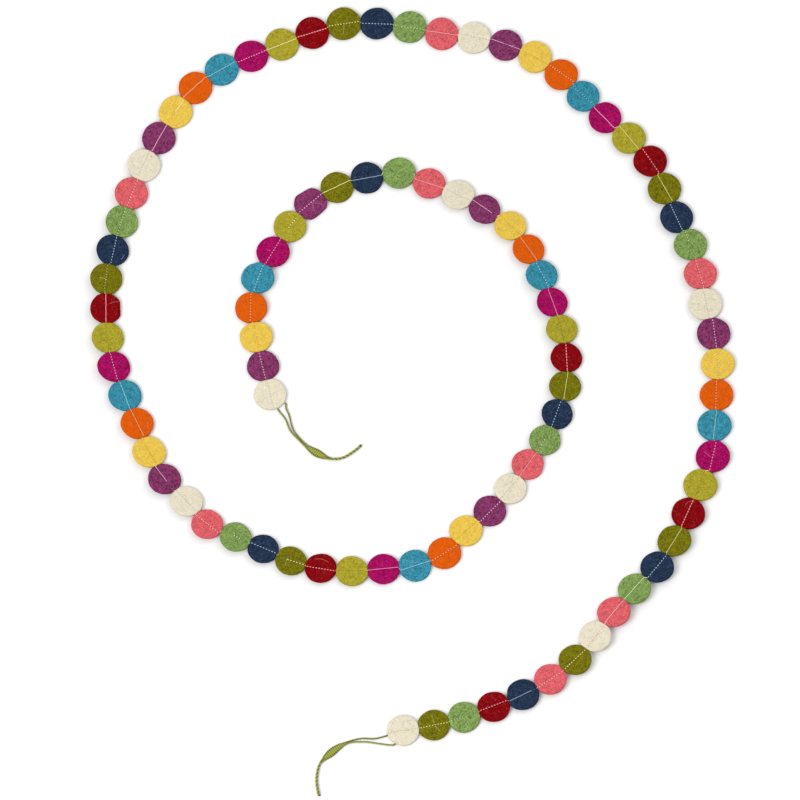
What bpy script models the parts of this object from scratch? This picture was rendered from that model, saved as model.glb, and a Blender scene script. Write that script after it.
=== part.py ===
"""Felt disc garland: 92 flat wool felt discs strung edge to edge, laid in a loose spiral.

Each end has two narrow ribbon tails, sewn under the end disc, which open side by side into
a small leaf and then twist round each other to their free ends.

Sizes are in millimetres, and MM turns them into metres. The garland lies on z = 0 and the
origin is on that surface, under the middle of the discs' outline. The spiral runs clockwise
from its inner end, seen from above, so its outer side is on the left of the way it runs.
"""

import math
import random
from typing import NamedTuple

import bmesh
import bpy
from mathutils import Matrix, Vector

MM = 0.001

# Discs
DISC_COUNT = 92
DISC_THICKNESS = 3.0
DISC_SIDES = 20
RIM_ROUNDING = 0.5
RIM_OVERLAP = 0.85
RADIUS_SPREAD = 0.12
OVAL_SHARE = 0.010
LOBE_SHARE = 0.006
NODE_GAP = 0.3
SIDE_WANDER = 0.35
ROLL_WANDER = 0.18
PITCH_WANDER = 0.14
EVEN_OUT_PASSES = 6
EVEN_OUT_SHARE = 0.25
NOMINAL_PITCH = 29.4
SEED = 1207

# Ribbon tails
STRAND_RADIUS = 0.7
PLY_RADIUS = 0.5
PLY_OFFSET = 0.68
PLY_TURN_LENGTH = 7.4
STEPS_PER_TURN = 6
STRAND_STUB = 1.2
STRAND_STEP = 2.6
TWIST_RAMP = 3.0
FLOOR_CLEARANCE = 0.08
TUBE_BEVEL_RESOLUTION = 2

FELT_ROUGHNESS = 0.95
RIBBON_ROUGHNESS = 0.55


class Station(NamedTuple):
    """A disc that sets the garland's line: its number, its place and how far it rolls."""

    disc: int
    x: float
    y: float
    roll: float


# The roll is in degrees about the line, positive where the outer side stands up. Between
# two stations with no roll the discs lie flat.
STATIONS = (
    Station(disc=1, x=-130, y=-19, roll=0),
    Station(disc=2, x=-137, y=9, roll=0),
    Station(disc=5, x=-142, y=94, roll=-5),
    Station(disc=6, x=-128, y=121, roll=-4),
    Station(disc=8, x=-93, y=169, roll=0),
    Station(disc=10, x=-41, y=195, roll=0),
    Station(disc=14, x=68, y=162, roll=-8),
    Station(disc=19, x=138, y=44, roll=-10),
    Station(disc=20, x=142, y=16, roll=-9),
    Station(disc=26, x=72, y=-133, roll=0),
    Station(disc=29, x=3, y=-187, roll=0),
    Station(disc=31, x=-56, y=-193, roll=4),
    Station(disc=35, x=-162, y=-160, roll=9),
    Station(disc=44, x=-282, y=65, roll=12),
    Station(disc=48, x=-259, y=178, roll=9),
    Station(disc=53, x=-176, y=302, roll=0),
    Station(disc=54, x=-148, y=315, roll=0),
    Station(disc=58, x=-33, y=348, roll=0),
    Station(disc=59, x=-2, y=344, roll=0),
    Station(disc=62, x=87, y=326, roll=0),
    Station(disc=67, x=200, y=234, roll=-5),
    Station(disc=72, x=266, y=99, roll=-6),
    Station(disc=79, x=265, y=-108, roll=3),
    Station(disc=81, x=241, y=-164, roll=7),
    Station(disc=84, x=185, y=-234, roll=9),
    Station(disc=86, x=150, y=-280, roll=8),
    Station(disc=90, x=47, y=-336, roll=0),
    Station(disc=92, x=-8, y=-348, roll=0),
)

# The discs that stick out of the line, outwards where positive.
OFF_LINE = {
    4: 1.5, 11: 3.0, 15: 3.5, 16: 2.0, 18: -1.5, 24: -1.5, 27: -2.0, 28: 2.0, 30: -1.8,
    34: -1.5, 36: 5.0, 37: 2.2, 38: 4.8, 39: 1.5, 40: -1.5, 41: -1.7, 45: 1.6, 47: -1.5,
    50: -1.3, 51: -1.3, 57: 1.8, 60: -2.5, 61: -1.5, 63: 1.5, 65: -3.3, 66: -3.5,
    68: 2.5, 70: -2.0, 73: -2.6, 75: 1.6, 78: 3.9, 82: 1.8,
}

COLOUR_CYCLE = (
    "cream", "purple", "yellow", "orange", "turquoise", "magenta",
    "chartreuse", "red", "olive", "navy", "green", "pink",
)
ODD_ONES_OUT = {8: "purple"}
LAST_RUN_START = 85
LAST_RUN = ("cream", "olive", "pink", "navy", "red", "green", "olive", "cream")

FELT_COLOURS = {
    "cream": (0.81, 0.72, 0.56),
    "purple": (0.23, 0.044, 0.13),
    "yellow": (0.84, 0.55, 0.08),
    "orange": (0.73, 0.114, 0.006),
    "turquoise": (0.048, 0.27, 0.37),
    "magenta": (0.376, 0.007, 0.109),
    "chartreuse": (0.41, 0.36, 0.032),
    "red": (0.235, 0.0024, 0.006),
    "olive": (0.19, 0.178, 0.0086),
    "navy": (0.023, 0.042, 0.087),
    "green": (0.212, 0.328, 0.093),
    "pink": (0.723, 0.122, 0.141),
}
RIBBON_COLOUR = (0.25, 0.28, 0.07)


class StemRow(NamedTuple):
    """A section of a tie's stem: its middle, and how far each tail lies from it."""

    x: float
    y: float
    spread: float


class Strand(NamedTuple):
    """One tail between its disc and the stem.

    It starts at the disc's rim, at leaves_at degrees round it, passes through its points,
    and then runs on the left of the stem where side is 1, or on the right where it is -1.
    """

    leaves_at: float
    points: tuple
    side: int


class Tie(NamedTuple):
    """A pair of ribbon tails: the end disc, each strand's route, and their shared stem.

    The tails twist round each other from the stem's twist_row on.
    """

    name: str
    disc: int
    strands: dict
    stem: tuple
    twist_row: int


TIES = (
    Tie(
        name="tie_inner",
        disc=1,
        strands={
            "left": Strand(
                leaves_at=-31,
                points=((-115.7, -31.5), (-113.2, -38.0), (-108.6, -54.0)),
                side=1,
            ),
            "right": Strand(
                leaves_at=-64,
                points=((-120.6, -37.0), (-116.9, -42.0), (-111.7, -54.4)),
                side=-1,
            ),
        },
        stem=(
            StemRow(x=-101.2, y=-65.1, spread=0.9),
            StemRow(x=-94.0, y=-71.8, spread=1.3),
            StemRow(x=-87.2, y=-76.3, spread=1.9),
            StemRow(x=-80.6, y=-79.7, spread=1.3),
            StemRow(x=-74.0, y=-82.0, spread=PLY_OFFSET),
            StemRow(x=-63.4, y=-81.0, spread=PLY_OFFSET),
            StemRow(x=-55.2, y=-76.2, spread=PLY_OFFSET),
            StemRow(x=-46.6, y=-68.7, spread=PLY_OFFSET),
        ),
        twist_row=4,
    ),
    Tie(
        name="tie_outer",
        disc=92,
        strands={
            "left": Strand(
                leaves_at=240,
                points=((-19.6, -362.4), (-27.6, -361.4), (-44.4, -359.3)),
                side=1,
            ),
            "right": Strand(
                leaves_at=198,
                points=((-27.0, -354.4), (-33.2, -355.9), (-46.4, -355.9)),
                side=-1,
            ),
        },
        stem=(
            StemRow(x=-59.5, y=-360.2, spread=0.9),
            StemRow(x=-66.6, y=-363.9, spread=1.4),
            StemRow(x=-73.6, y=-369.5, spread=1.9),
            StemRow(x=-79.2, y=-374.6, spread=1.3),
            StemRow(x=-83.6, y=-379.8, spread=PLY_OFFSET),
            StemRow(x=-87.0, y=-392.0, spread=PLY_OFFSET),
            StemRow(x=-86.8, y=-402.8, spread=PLY_OFFSET),
            StemRow(x=-84.8, y=-411.9, spread=PLY_OFFSET),
        ),
        twist_row=4,
    ),
)


class Disc(NamedTuple):
    """One felt disc, where it lies and how it is turned."""

    number: int
    centre: Vector
    heading: float
    radius: float
    roll: float
    pitch: float
    oval_phase: float
    lobe_phase: float


def clear_scene():
    """Remove the objects that a new file starts with."""
    for thing in list(bpy.data.objects):
        bpy.data.objects.remove(thing, do_unlink=True)


def slopes(knots, values):
    """Give the slope at each knot of a smooth curve through the values."""
    inner = []
    for i in range(1, len(knots) - 1):
        before = knots[i] - knots[i - 1]
        after = knots[i + 1] - knots[i]
        slope_before = (values[i] - values[i - 1]) / before
        slope_after = (values[i + 1] - values[i]) / after
        inner.append((slope_before * after + slope_after * before) / (before + after))
    first = 2 * (values[1] - values[0]) / (knots[1] - knots[0]) - inner[0]
    last = 2 * (values[-1] - values[-2]) / (knots[-1] - knots[-2]) - inner[-1]
    return [first, *inner, last]


def section_of(knots, at):
    """Give the number of the stretch between knots that holds a place."""
    for i in range(len(knots) - 2):
        if at < knots[i + 1]:
            return i
    return len(knots) - 2


def smooth_value(knots, values, at):
    """Read a smooth curve through the values at a place between the knots."""
    grades = slopes(knots, values)
    i = section_of(knots, at)
    width = knots[i + 1] - knots[i]
    t = (at - knots[i]) / width
    return (
        (2 * t**3 - 3 * t**2 + 1) * values[i]
        + (t**3 - 2 * t**2 + t) * width * grades[i]
        + (3 * t**2 - 2 * t**3) * values[i + 1]
        + (t**3 - t**2) * width * grades[i + 1]
    )


def straight_value(knots, values, at):
    """Read straight lines through the values at a place between the knots."""
    i = section_of(knots, at)
    t = (at - knots[i]) / (knots[i + 1] - knots[i])
    return values[i] + (values[i + 1] - values[i]) * t


def line_point(at):
    """Give the point of the garland's line at a disc number, whole or not."""
    knots = [station.disc for station in STATIONS]
    x = smooth_value(knots, [station.x for station in STATIONS], at)
    y = smooth_value(knots, [station.y for station in STATIONS], at)
    return Vector((x, y, 0))


def spread_along_line():
    """Give each disc's place on the line, with the steps between them evened out."""
    places = [float(number) for number in range(1, DISC_COUNT + 1)]
    points = [line_point(place) for place in places]
    for _ in range(EVEN_OUT_PASSES):
        for i in range(1, DISC_COUNT - 1):
            before = (points[i] - points[i - 1]).length
            after = (points[i + 1] - points[i]).length
            places[i] += EVEN_OUT_SHARE * (after - before) / NOMINAL_PITCH
            points[i] = line_point(places[i])
    return points


def heading_at(points, i):
    """Give the direction of the line at a disc, from its neighbours, in radians."""
    before = points[max(i - 1, 0)]
    after = points[min(i + 1, len(points) - 1)]
    along = after - before
    return math.atan2(along.y, along.x)


def step_off_line(points):
    """Move each disc a little off the line, as unevenly as hand work is."""
    centres = []
    for i, point in enumerate(points):
        chance = random.Random(SEED - i)
        heading = heading_at(points, i)
        outwards = Vector((-math.sin(heading), math.cos(heading), 0))
        aside = OFF_LINE.get(i + 1, 0) + chance.uniform(-SIDE_WANDER, SIDE_WANDER)
        centres.append(point + outwards * aside)
    return centres


def step_radius(points, i):
    """Give the radius that makes a disc just overlap its neighbours."""
    steps = [(points[j] - points[i]).length for j in (i - 1, i + 1) if 0 <= j < len(points)]
    return (sum(steps) / len(steps) + RIM_OVERLAP) / 2


def lay_discs():
    """Lay all the discs, each with its own size, outline and tilt."""
    points = spread_along_line()
    centres = step_off_line(points)
    knots = [station.disc for station in STATIONS]
    rolls = [station.roll for station in STATIONS]
    discs = []
    for i, centre in enumerate(centres):
        chance = random.Random(SEED + i)
        roll = straight_value(knots, rolls, i + 1)
        discs.append(
            Disc(
                number=i + 1,
                centre=centre,
                heading=heading_at(points, i),
                radius=step_radius(centres, i) + chance.uniform(-RADIUS_SPREAD, RADIUS_SPREAD),
                roll=math.radians(roll * (1 + chance.uniform(-ROLL_WANDER, ROLL_WANDER))),
                pitch=math.radians(roll * chance.uniform(-PITCH_WANDER, PITCH_WANDER)),
                oval_phase=chance.uniform(0, math.tau),
                lobe_phase=chance.uniform(0, math.tau),
            )
        )
    return discs


def rim_radius(disc, angle):
    """Give a disc's radius at an angle from its heading."""
    oval = OVAL_SHARE * math.cos(2 * angle + disc.oval_phase)
    lobes = LOBE_SHARE * math.cos(3 * angle + disc.lobe_phase)
    return disc.radius * (1 + oval + lobes)


def colour_of(number):
    """Give the felt colour of a disc."""
    if number in ODD_ONES_OUT:
        return ODD_ONES_OUT[number]
    if number >= LAST_RUN_START:
        return LAST_RUN[number - LAST_RUN_START]
    return COLOUR_CYCLE[(number - 1) % len(COLOUR_CYCLE)]


def paint(name, colour, roughness):
    """Give the material of a colour, made on its first use."""
    material = bpy.data.materials.get(name)
    if material is None:
        material = bpy.data.materials.new(name)
        material.use_nodes = True
        shader = material.node_tree.nodes["Principled BSDF"]
        shader.inputs["Base Color"].default_value = (*colour, 1)
        shader.inputs["Roughness"].default_value = roughness
        shader.inputs["Metallic"].default_value = 0
    return material


def round_blank(disc):
    """Make a disc flat at the origin: a frustum, mirrored upwards by an extrusion."""
    blank = bmesh.new()
    face_radius = disc.radius - RIM_ROUNDING
    bmesh.ops.create_cone(
        blank,
        cap_ends=True,
        segments=DISC_SIDES,
        radius1=face_radius,
        radius2=disc.radius,
        depth=DISC_THICKNESS / 2,
    )
    top = max(blank.faces, key=lambda face: face.calc_center_median().z)
    raised = bmesh.ops.extrude_discrete_faces(blank, faces=[top])["faces"]
    shrink = face_radius / disc.radius
    for vertex in raised[0].verts:
        vertex.co.x *= shrink
        vertex.co.y *= shrink
        vertex.co.z += DISC_THICKNESS / 2
    bmesh.ops.remove_doubles(blank, verts=blank.verts, dist=0.001)
    return blank


def shape_disc(disc):
    """Make a disc with its uneven rim, turned, and set down on the surface."""
    blank = round_blank(disc)
    for vertex in blank.verts:
        angle = math.atan2(vertex.co.y, vertex.co.x)
        factor = rim_radius(disc, angle) / disc.radius
        vertex.co.x *= factor
        vertex.co.y *= factor
    turn = (
        Matrix.Rotation(disc.heading, 4, "Z")
        @ Matrix.Rotation(disc.roll, 4, "X")
        @ Matrix.Rotation(disc.pitch, 4, "Y")
    )
    bmesh.ops.transform(blank, matrix=turn, verts=blank.verts)
    lowest = min(vertex.co.z for vertex in blank.verts)
    shift = Matrix.Translation(disc.centre - Vector((0, 0, lowest)))
    bmesh.ops.transform(blank, matrix=shift, verts=blank.verts)
    return blank


def trim_at_neighbour(blank, disc, neighbour):
    """Cut a disc straight where it butts a neighbour in another node."""
    across = neighbour.centre - disc.centre
    share = disc.radius / (disc.radius + neighbour.radius)
    reach = across.length * share - NODE_GAP / 2
    direction = across.normalized()
    cut = bmesh.ops.bisect_plane(
        blank,
        geom=[*blank.verts, *blank.edges, *blank.faces],
        plane_co=disc.centre + direction * reach,
        plane_no=direction,
        clear_outer=True,
    )
    edges = [piece for piece in cut["geom_cut"] if isinstance(piece, bmesh.types.BMEdge)]
    bmesh.ops.holes_fill(blank, edges=edges)


def finish_mesh(blank, name):
    """Turn millimetres into metres and give the mesh."""
    bmesh.ops.recalc_face_normals(blank, faces=blank.faces)
    bmesh.ops.scale(blank, vec=(MM, MM, MM), verts=blank.verts)
    mesh = bpy.data.meshes.new(name)
    blank.to_mesh(mesh)
    blank.free()
    return mesh


def add_object(name, data, material, collection):
    """Add an object with its material to a collection."""
    thing = bpy.data.objects.new(name, data)
    data.materials.append(material)
    collection.objects.link(thing)
    return thing


def make_pair(discs, i, parts, cutters):
    """Make two neighbouring discs as one solid, joined where their rims meet."""
    first, second = discs[i], discs[i + 1]
    name = f"discs_{first.number:02d}_{second.number:02d}"
    shade = colour_of(first.number)
    felt = paint(f"felt_{shade}", FELT_COLOURS[shade], FELT_ROUGHNESS)

    first_blank = shape_disc(first)
    if i > 0:
        trim_at_neighbour(first_blank, first, discs[i - 1])
    second_blank = shape_disc(second)
    if i + 2 < len(discs):
        trim_at_neighbour(second_blank, second, discs[i + 2])

    pair = add_object(name, finish_mesh(first_blank, name), felt, parts)
    mate = add_object(f"{name}_mate", finish_mesh(second_blank, f"{name}_mate"), felt, cutters)
    mate.hide_render = True
    mate.display_type = "WIRE"
    join = pair.modifiers.new("join", "BOOLEAN")
    join.operation = "UNION"
    join.solver = "EXACT"
    join.object = mate
    pair.data.shade_smooth()
    pair.data.set_sharp_from_angle(angle=math.radians(40))
    return pair


def chord_lengths(points):
    """Give how far along a row of points each one lies."""
    lengths = [0.0]
    for before, after in zip(points, points[1:]):
        lengths.append(lengths[-1] + (after - before).length)
    return lengths


def smooth_point(knots, points, at):
    """Read a smooth curve through points at a distance along them."""
    return Vector([smooth_value(knots, [p[k] for p in points], at) for k in range(3)])


def even_steps(start, end, step):
    """Give even steps from start to end, both counted in."""
    count = max(1, round((end - start) / step))
    return [start + (end - start) * k / count for k in range(count + 1)]


def stem_points(tie, side):
    """Give one tail's places and thickness along the stem, flat and then twisted."""
    middles = [Vector((row.x, row.y, 0)) for row in tie.stem]
    spreads = [row.spread for row in tie.stem]
    knots = chord_lengths(middles)
    twist_start = knots[tie.twist_row]
    flat_steps = even_steps(0, twist_start, STRAND_STEP)
    twist_steps = even_steps(twist_start, knots[-1], PLY_TURN_LENGTH / STEPS_PER_TURN)
    stations = []
    for at in flat_steps + twist_steps[1:]:
        middle = smooth_point(knots, middles, at)
        ahead = smooth_point(knots, middles, at + 0.1) - middle
        aside = Vector((-ahead.y, ahead.x, 0)).normalized()
        spread = straight_value(knots, spreads, at)
        twisted = max(0, at - twist_start)
        phase = math.tau * twisted / PLY_TURN_LENGTH
        ramp = min(1, max(0, (at - twist_start + TWIST_RAMP) / TWIST_RAMP))
        radius = STRAND_RADIUS + (PLY_RADIUS - STRAND_RADIUS) * ramp
        height = radius + FLOOR_CLEARANCE + PLY_OFFSET * ramp
        place = middle + aside * side * spread * math.cos(phase)
        place.z = height + side * spread * math.sin(phase)
        stations.append((place, radius))
    return stations


def strand_points(tie, strand, disc, stem_start):
    """Give one tail's places from the rim of its disc to the stem."""
    angle = math.radians(strand.leaves_at)
    outwards = Vector((math.cos(angle), math.sin(angle), 0))
    rim = rim_radius(disc, angle - disc.heading)
    height = STRAND_RADIUS + FLOOR_CLEARANCE
    route = [disc.centre + outwards * (rim + NODE_GAP)]
    route.append(disc.centre + outwards * (rim + NODE_GAP + STRAND_STUB))
    route += [Vector((x, y, 0)) for x, y in strand.points]
    for place in route:
        place.z = height
    route += stem_start
    knots = chord_lengths(route)
    stem_at = knots[-len(stem_start)]
    steps = even_steps(0, stem_at, STRAND_STEP)[:-1]
    return [(smooth_point(knots, route, at), STRAND_RADIUS) for at in steps]


def make_tail(tie, which, discs, parts):
    """Make one ribbon tail of a tie as a plain tube."""
    strand = tie.strands[which]
    stem = stem_points(tie, strand.side)
    stem_start = [place for place, _ in stem[:2]]
    stations = strand_points(tie, strand, discs[tie.disc - 1], stem_start) + stem

    name = f"{tie.name}_{which}"
    curve = bpy.data.curves.new(name, "CURVE")
    curve.dimensions = "3D"
    curve.bevel_depth = MM
    curve.bevel_resolution = TUBE_BEVEL_RESOLUTION
    curve.use_fill_caps = True
    spline = curve.splines.new("POLY")
    spline.points.add(len(stations) - 1)
    for point, (place, radius) in zip(spline.points, stations):
        point.co = (*(place * MM), 1)
        point.radius = radius
    ribbon = paint("ribbon_green", RIBBON_COLOUR, RIBBON_ROUGHNESS)
    return add_object(name, curve, ribbon, parts)


def main():
    """Build the garland."""
    clear_scene()
    parts = bpy.data.collections.new("felt_disc_garland")
    cutters = bpy.data.collections.new("joined_halves")
    bpy.context.scene.collection.children.link(parts)
    bpy.context.scene.collection.children.link(cutters)
    discs = lay_discs()
    for i in range(0, DISC_COUNT, 2):
        make_pair(discs, i, parts, cutters)
    for tie in TIES:
        for which in tie.strands:
            make_tail(tie, which, discs, parts)


main()
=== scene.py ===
"""Looks of the felt disc garland: wool felt discs, sewing thread and ribbon tails.

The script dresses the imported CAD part. Every disc and tail lies where the CAD has it, so
the layout's values are those of the part's source, in millimetres, and MM turns them into
metres. The garland lies on z = 0 and runs clockwise from its inner end, seen from above,
so the outer side of a disc is on the left of the way that the line runs.
"""

import logging
import math
import random
from collections.abc import Callable, Iterable, Mapping, Sequence
from dataclasses import dataclass, field, replace
from enum import Enum

import bmesh
import bpy
from mathutils import Matrix, Vector, noise


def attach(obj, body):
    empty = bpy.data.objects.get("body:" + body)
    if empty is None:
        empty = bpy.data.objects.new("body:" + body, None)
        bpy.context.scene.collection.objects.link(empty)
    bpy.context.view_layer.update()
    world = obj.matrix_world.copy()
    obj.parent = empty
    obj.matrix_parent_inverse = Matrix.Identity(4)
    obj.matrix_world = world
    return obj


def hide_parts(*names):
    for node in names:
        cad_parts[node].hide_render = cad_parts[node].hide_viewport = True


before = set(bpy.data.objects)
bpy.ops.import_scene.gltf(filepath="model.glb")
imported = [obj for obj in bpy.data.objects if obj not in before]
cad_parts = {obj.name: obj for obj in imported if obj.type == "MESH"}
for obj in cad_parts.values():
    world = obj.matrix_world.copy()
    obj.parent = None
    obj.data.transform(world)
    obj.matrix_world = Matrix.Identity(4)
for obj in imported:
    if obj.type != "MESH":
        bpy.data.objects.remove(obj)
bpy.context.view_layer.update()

MM = 0.001
ROOT = "root"

# The garland's line and discs
DISC_COUNT = 92
DISC_THICKNESS = 3.0
RIM_OVERLAP = 0.85
RADIUS_SPREAD = 0.12
OVAL_SHARE = 0.010
LOBE_SHARE = 0.006
CAD_GAP = 0.3
SIDE_WANDER = 0.35
ROLL_WANDER = 0.18
PITCH_WANDER = 0.14
EVEN_OUT_PASSES = 6
EVEN_OUT_SHARE = 0.25
NOMINAL_PITCH = 29.4
SEED = 1207

# Ribbon tails
STRAND_RADIUS = 0.7
PLY_OFFSET = 0.68
PLY_RADIUS = 0.5
PLY_TURN_LENGTH = 7.4
STEPS_PER_TURN = 12
STRAND_STUB = 1.2
STRAND_STEP = 1.3
TWIST_RAMP = 3.0
FLOOR_CLEARANCE = 0.08

log = logging.getLogger("garland")


class Felt(Enum):
    """The felt colours."""

    CREAM = "cream"
    PURPLE = "purple"
    YELLOW = "yellow"
    ORANGE = "orange"
    TURQUOISE = "turquoise"
    MAGENTA = "magenta"
    CHARTREUSE = "chartreuse"
    RED = "red"
    OLIVE = "olive"
    NAVY = "navy"
    GREEN = "green"
    PINK = "pink"


COLOUR_CYCLE = tuple(Felt)
ODD_ONES_OUT = {8: Felt.PURPLE}
LAST_RUN_START = 85
LAST_RUN = (
    Felt.CREAM, Felt.OLIVE, Felt.PINK, Felt.NAVY,
    Felt.RED, Felt.GREEN, Felt.OLIVE, Felt.CREAM,
)


@dataclass(frozen=True)
class Station:
    """A disc that sets the garland's line: its number, its place and its roll in degrees."""

    disc: int
    x: float
    y: float
    roll: float


STATIONS = (
    Station(disc=1, x=-130, y=-19, roll=0),
    Station(disc=2, x=-137, y=9, roll=0),
    Station(disc=5, x=-142, y=94, roll=-5),
    Station(disc=6, x=-128, y=121, roll=-4),
    Station(disc=8, x=-93, y=169, roll=0),
    Station(disc=10, x=-41, y=195, roll=0),
    Station(disc=14, x=68, y=162, roll=-8),
    Station(disc=19, x=138, y=44, roll=-10),
    Station(disc=20, x=142, y=16, roll=-9),
    Station(disc=26, x=72, y=-133, roll=0),
    Station(disc=29, x=3, y=-187, roll=0),
    Station(disc=31, x=-56, y=-193, roll=4),
    Station(disc=35, x=-162, y=-160, roll=9),
    Station(disc=44, x=-282, y=65, roll=12),
    Station(disc=48, x=-259, y=178, roll=9),
    Station(disc=53, x=-176, y=302, roll=0),
    Station(disc=54, x=-148, y=315, roll=0),
    Station(disc=58, x=-33, y=348, roll=0),
    Station(disc=59, x=-2, y=344, roll=0),
    Station(disc=62, x=87, y=326, roll=0),
    Station(disc=67, x=200, y=234, roll=-5),
    Station(disc=72, x=266, y=99, roll=-6),
    Station(disc=79, x=265, y=-108, roll=3),
    Station(disc=81, x=241, y=-164, roll=7),
    Station(disc=84, x=185, y=-234, roll=9),
    Station(disc=86, x=150, y=-280, roll=8),
    Station(disc=90, x=47, y=-336, roll=0),
    Station(disc=92, x=-8, y=-348, roll=0),
)

# The discs that stick out of the line, outwards where positive.
OFF_LINE = {
    4: 1.5, 11: 3.0, 15: 3.5, 16: 2.0, 18: -1.5, 24: -1.5, 27: -2.0, 28: 2.0, 30: -1.8,
    34: -1.5, 36: 5.0, 37: 2.2, 38: 4.8, 39: 1.5, 40: -1.5, 41: -1.7, 45: 1.6, 47: -1.5,
    50: -1.3, 51: -1.3, 57: 1.8, 60: -2.5, 61: -1.5, 63: 1.5, 65: -3.3, 66: -3.5,
    68: 2.5, 70: -2.0, 73: -2.6, 75: 1.6, 78: 3.9, 82: 1.8,
}


@dataclass(frozen=True)
class Snip:
    """A straight cut that takes a little off a disc's rim.

    Facing is the cut's direction in the plan, in degrees, and reach its distance from the
    disc's middle as a share of the radius. Rounding is how soft the cut's corners are, in
    millimetres.
    """

    facing: float
    reach: float
    rounding: float


SNIPS = {
    8: (
        Snip(facing=122, reach=0.89, rounding=1.2),
        Snip(facing=-48, reach=0.87, rounding=2.5),
    ),
    44: (Snip(facing=2, reach=0.90, rounding=0.4),),
}


@dataclass(frozen=True)
class StitchLook:
    """How a disc's stitches show, in millimetres.

    The thread sinks into its holes and stands up to its crest between them. The larger its
    narrowing, the shorter is the part that stands up. Press is how far the sewing has
    pressed the felt down, as a share of the usual.
    """

    radius: float
    sink: float
    crest: float
    narrowing: float
    wander: float = 0.08
    press: float = 1.0


class Look(Enum):
    """The looks of the discs' stitches."""

    HEAVY = StitchLook(radius=0.35, sink=0.10, crest=0.16, narrowing=0.5, wander=0.16)
    BOLD = StitchLook(radius=0.47, sink=1.45, crest=0.14, narrowing=1.0)
    LINE = StitchLook(radius=0.26, sink=0.10, crest=0.12, narrowing=0.5)
    DASHES = StitchLook(radius=0.42, sink=1.50, crest=0.12, narrowing=1.35)
    DOTS = StitchLook(radius=0.43, sink=1.50, crest=0.12, narrowing=1.9)
    FAINT = StitchLook(radius=0.28, sink=1.20, crest=0.06, narrowing=2.4, press=0.7)
    BURIED = StitchLook(radius=0.15, sink=0.30, crest=-0.45, narrowing=1.0, press=0.35)


STITCH_LOOKS = {
    Look.HEAVY: (9, 44, 50, 51, 52, 55, 66, 84),
    Look.BOLD: (20, 56, 80),
    Look.LINE: (
        10, 12, 14, 16, 18, 21, 24, 29, 30, 38, 40, 41, 53, 60, 62, 67, 69, 77, 81, 83, 88,
    ),
    Look.DASHES: (5, 6, 26, 32, 34, 54, 58, 68, 70, 78, 82, 86, 87, 89),
    Look.DOTS: (2, 4, 7, 8, 17, 22, 28, 33, 36, 42, 46, 48, 57, 64, 72, 74, 76, 91),
    Look.FAINT: (23, 35, 45, 47, 59, 65, 71, 75, 90),
}
# The part of some discs' sewn lines that shows, as shares from where the line comes in
SHOWN_STRETCHES = {
    7: (0.35, 0.90), 14: (0.0, 0.8), 23: (0.45, 0.95), 33: (0.0, 0.65), 35: (0.3, 0.6),
    38: (0.35, 1.0), 51: (0.5, 1.0), 71: (0.0, 0.4), 88: (0.2, 1.0), 90: (0.5, 1.0),
}


@dataclass(frozen=True)
class StrayFibre:
    """A loose fibre on a disc's face, from one place to another.

    The places are in millimetres to the right of and above the disc's middle, seen from
    above. Bend is how far it bows to its left, and tone is 1 for a pale fibre or 0 for a
    dark one.
    """

    disc: int
    start: tuple[float, float]
    end: tuple[float, float]
    bend: float = 0.0
    tone: float = 1.0


STRAY_FIBRES = (
    StrayFibre(disc=6, start=(-6.0, 1.9), end=(-2.0, 0.4)),
    StrayFibre(disc=8, start=(2.7, 3.6), end=(4.0, -7.9), bend=-1.0),
    StrayFibre(disc=8, start=(2.7, 0.0), end=(11.5, -2.1), bend=1.2),
    StrayFibre(disc=14, start=(-4.0, 2.9), end=(-7.4, -5.7), bend=0.8),
    StrayFibre(disc=29, start=(-9.4, 5.7), end=(3.3, 2.9), bend=-1.8),
    StrayFibre(disc=32, start=(-6.0, 8.6), end=(7.4, 5.0), bend=2.0),
    StrayFibre(disc=33, start=(-4.0, 0.7), end=(-5.4, -6.4)),
    StrayFibre(disc=40, start=(9.4, 2.1), end=(9.4, -5.7), bend=0.6),
    StrayFibre(disc=41, start=(0.7, 5.7), end=(7.4, 4.3), bend=1.5, tone=0.0),
    StrayFibre(disc=44, start=(2.7, 4.3), end=(12.0, 7.2), bend=0.6),
    StrayFibre(disc=45, start=(-7.4, 0.0), end=(0.7, -1.4), bend=0.8),
    StrayFibre(disc=46, start=(10.7, -3.6), end=(7.4, -9.3), bend=0.5),
    StrayFibre(disc=47, start=(-6.0, -2.9), end=(-2.0, -9.3), bend=0.5, tone=0.0),
    StrayFibre(disc=49, start=(5.4, 8.4), end=(6.8, 7.4), bend=0.5, tone=0.0),
    StrayFibre(disc=57, start=(0.0, -0.7), end=(-0.9, -12.0), bend=0.6),
    StrayFibre(disc=60, start=(-3.3, -3.6), end=(3.3, -9.3), bend=0.8, tone=0.0),
    StrayFibre(disc=62, start=(-4.5, 2.9), end=(10.0, -0.7), bend=-1.6),
    StrayFibre(disc=77, start=(-3.3, 7.9), end=(0.7, 5.0)),
    StrayFibre(disc=78, start=(-8.7, 4.3), end=(-2.0, -1.4), bend=0.5),
    StrayFibre(disc=80, start=(-3.3, 7.2), end=(6.0, 11.8), bend=1.8),
    StrayFibre(disc=91, start=(0.7, -0.7), end=(-2.0, 8.5)),
    StrayFibre(disc=91, start=(0.7, -0.7), end=(6.0, -7.2)),
    StrayFibre(disc=92, start=(3.4, -0.4), end=(5.0, -1.2), bend=0.4, tone=0.0),
)


@dataclass(frozen=True)
class StemRow:
    """A section of a tie's stem: its middle, and how far each tail lies from it."""

    x: float
    y: float
    spread: float


@dataclass(frozen=True)
class Strand:
    """One tail between its disc and the stem.

    It starts at leaves_at degrees round the disc's rim, passes through its points, and
    then runs on the left of the stem where side is 1, or on the right where it is -1.
    """

    leaves_at: float
    points: tuple[tuple[float, float], ...]
    side: int


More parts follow.
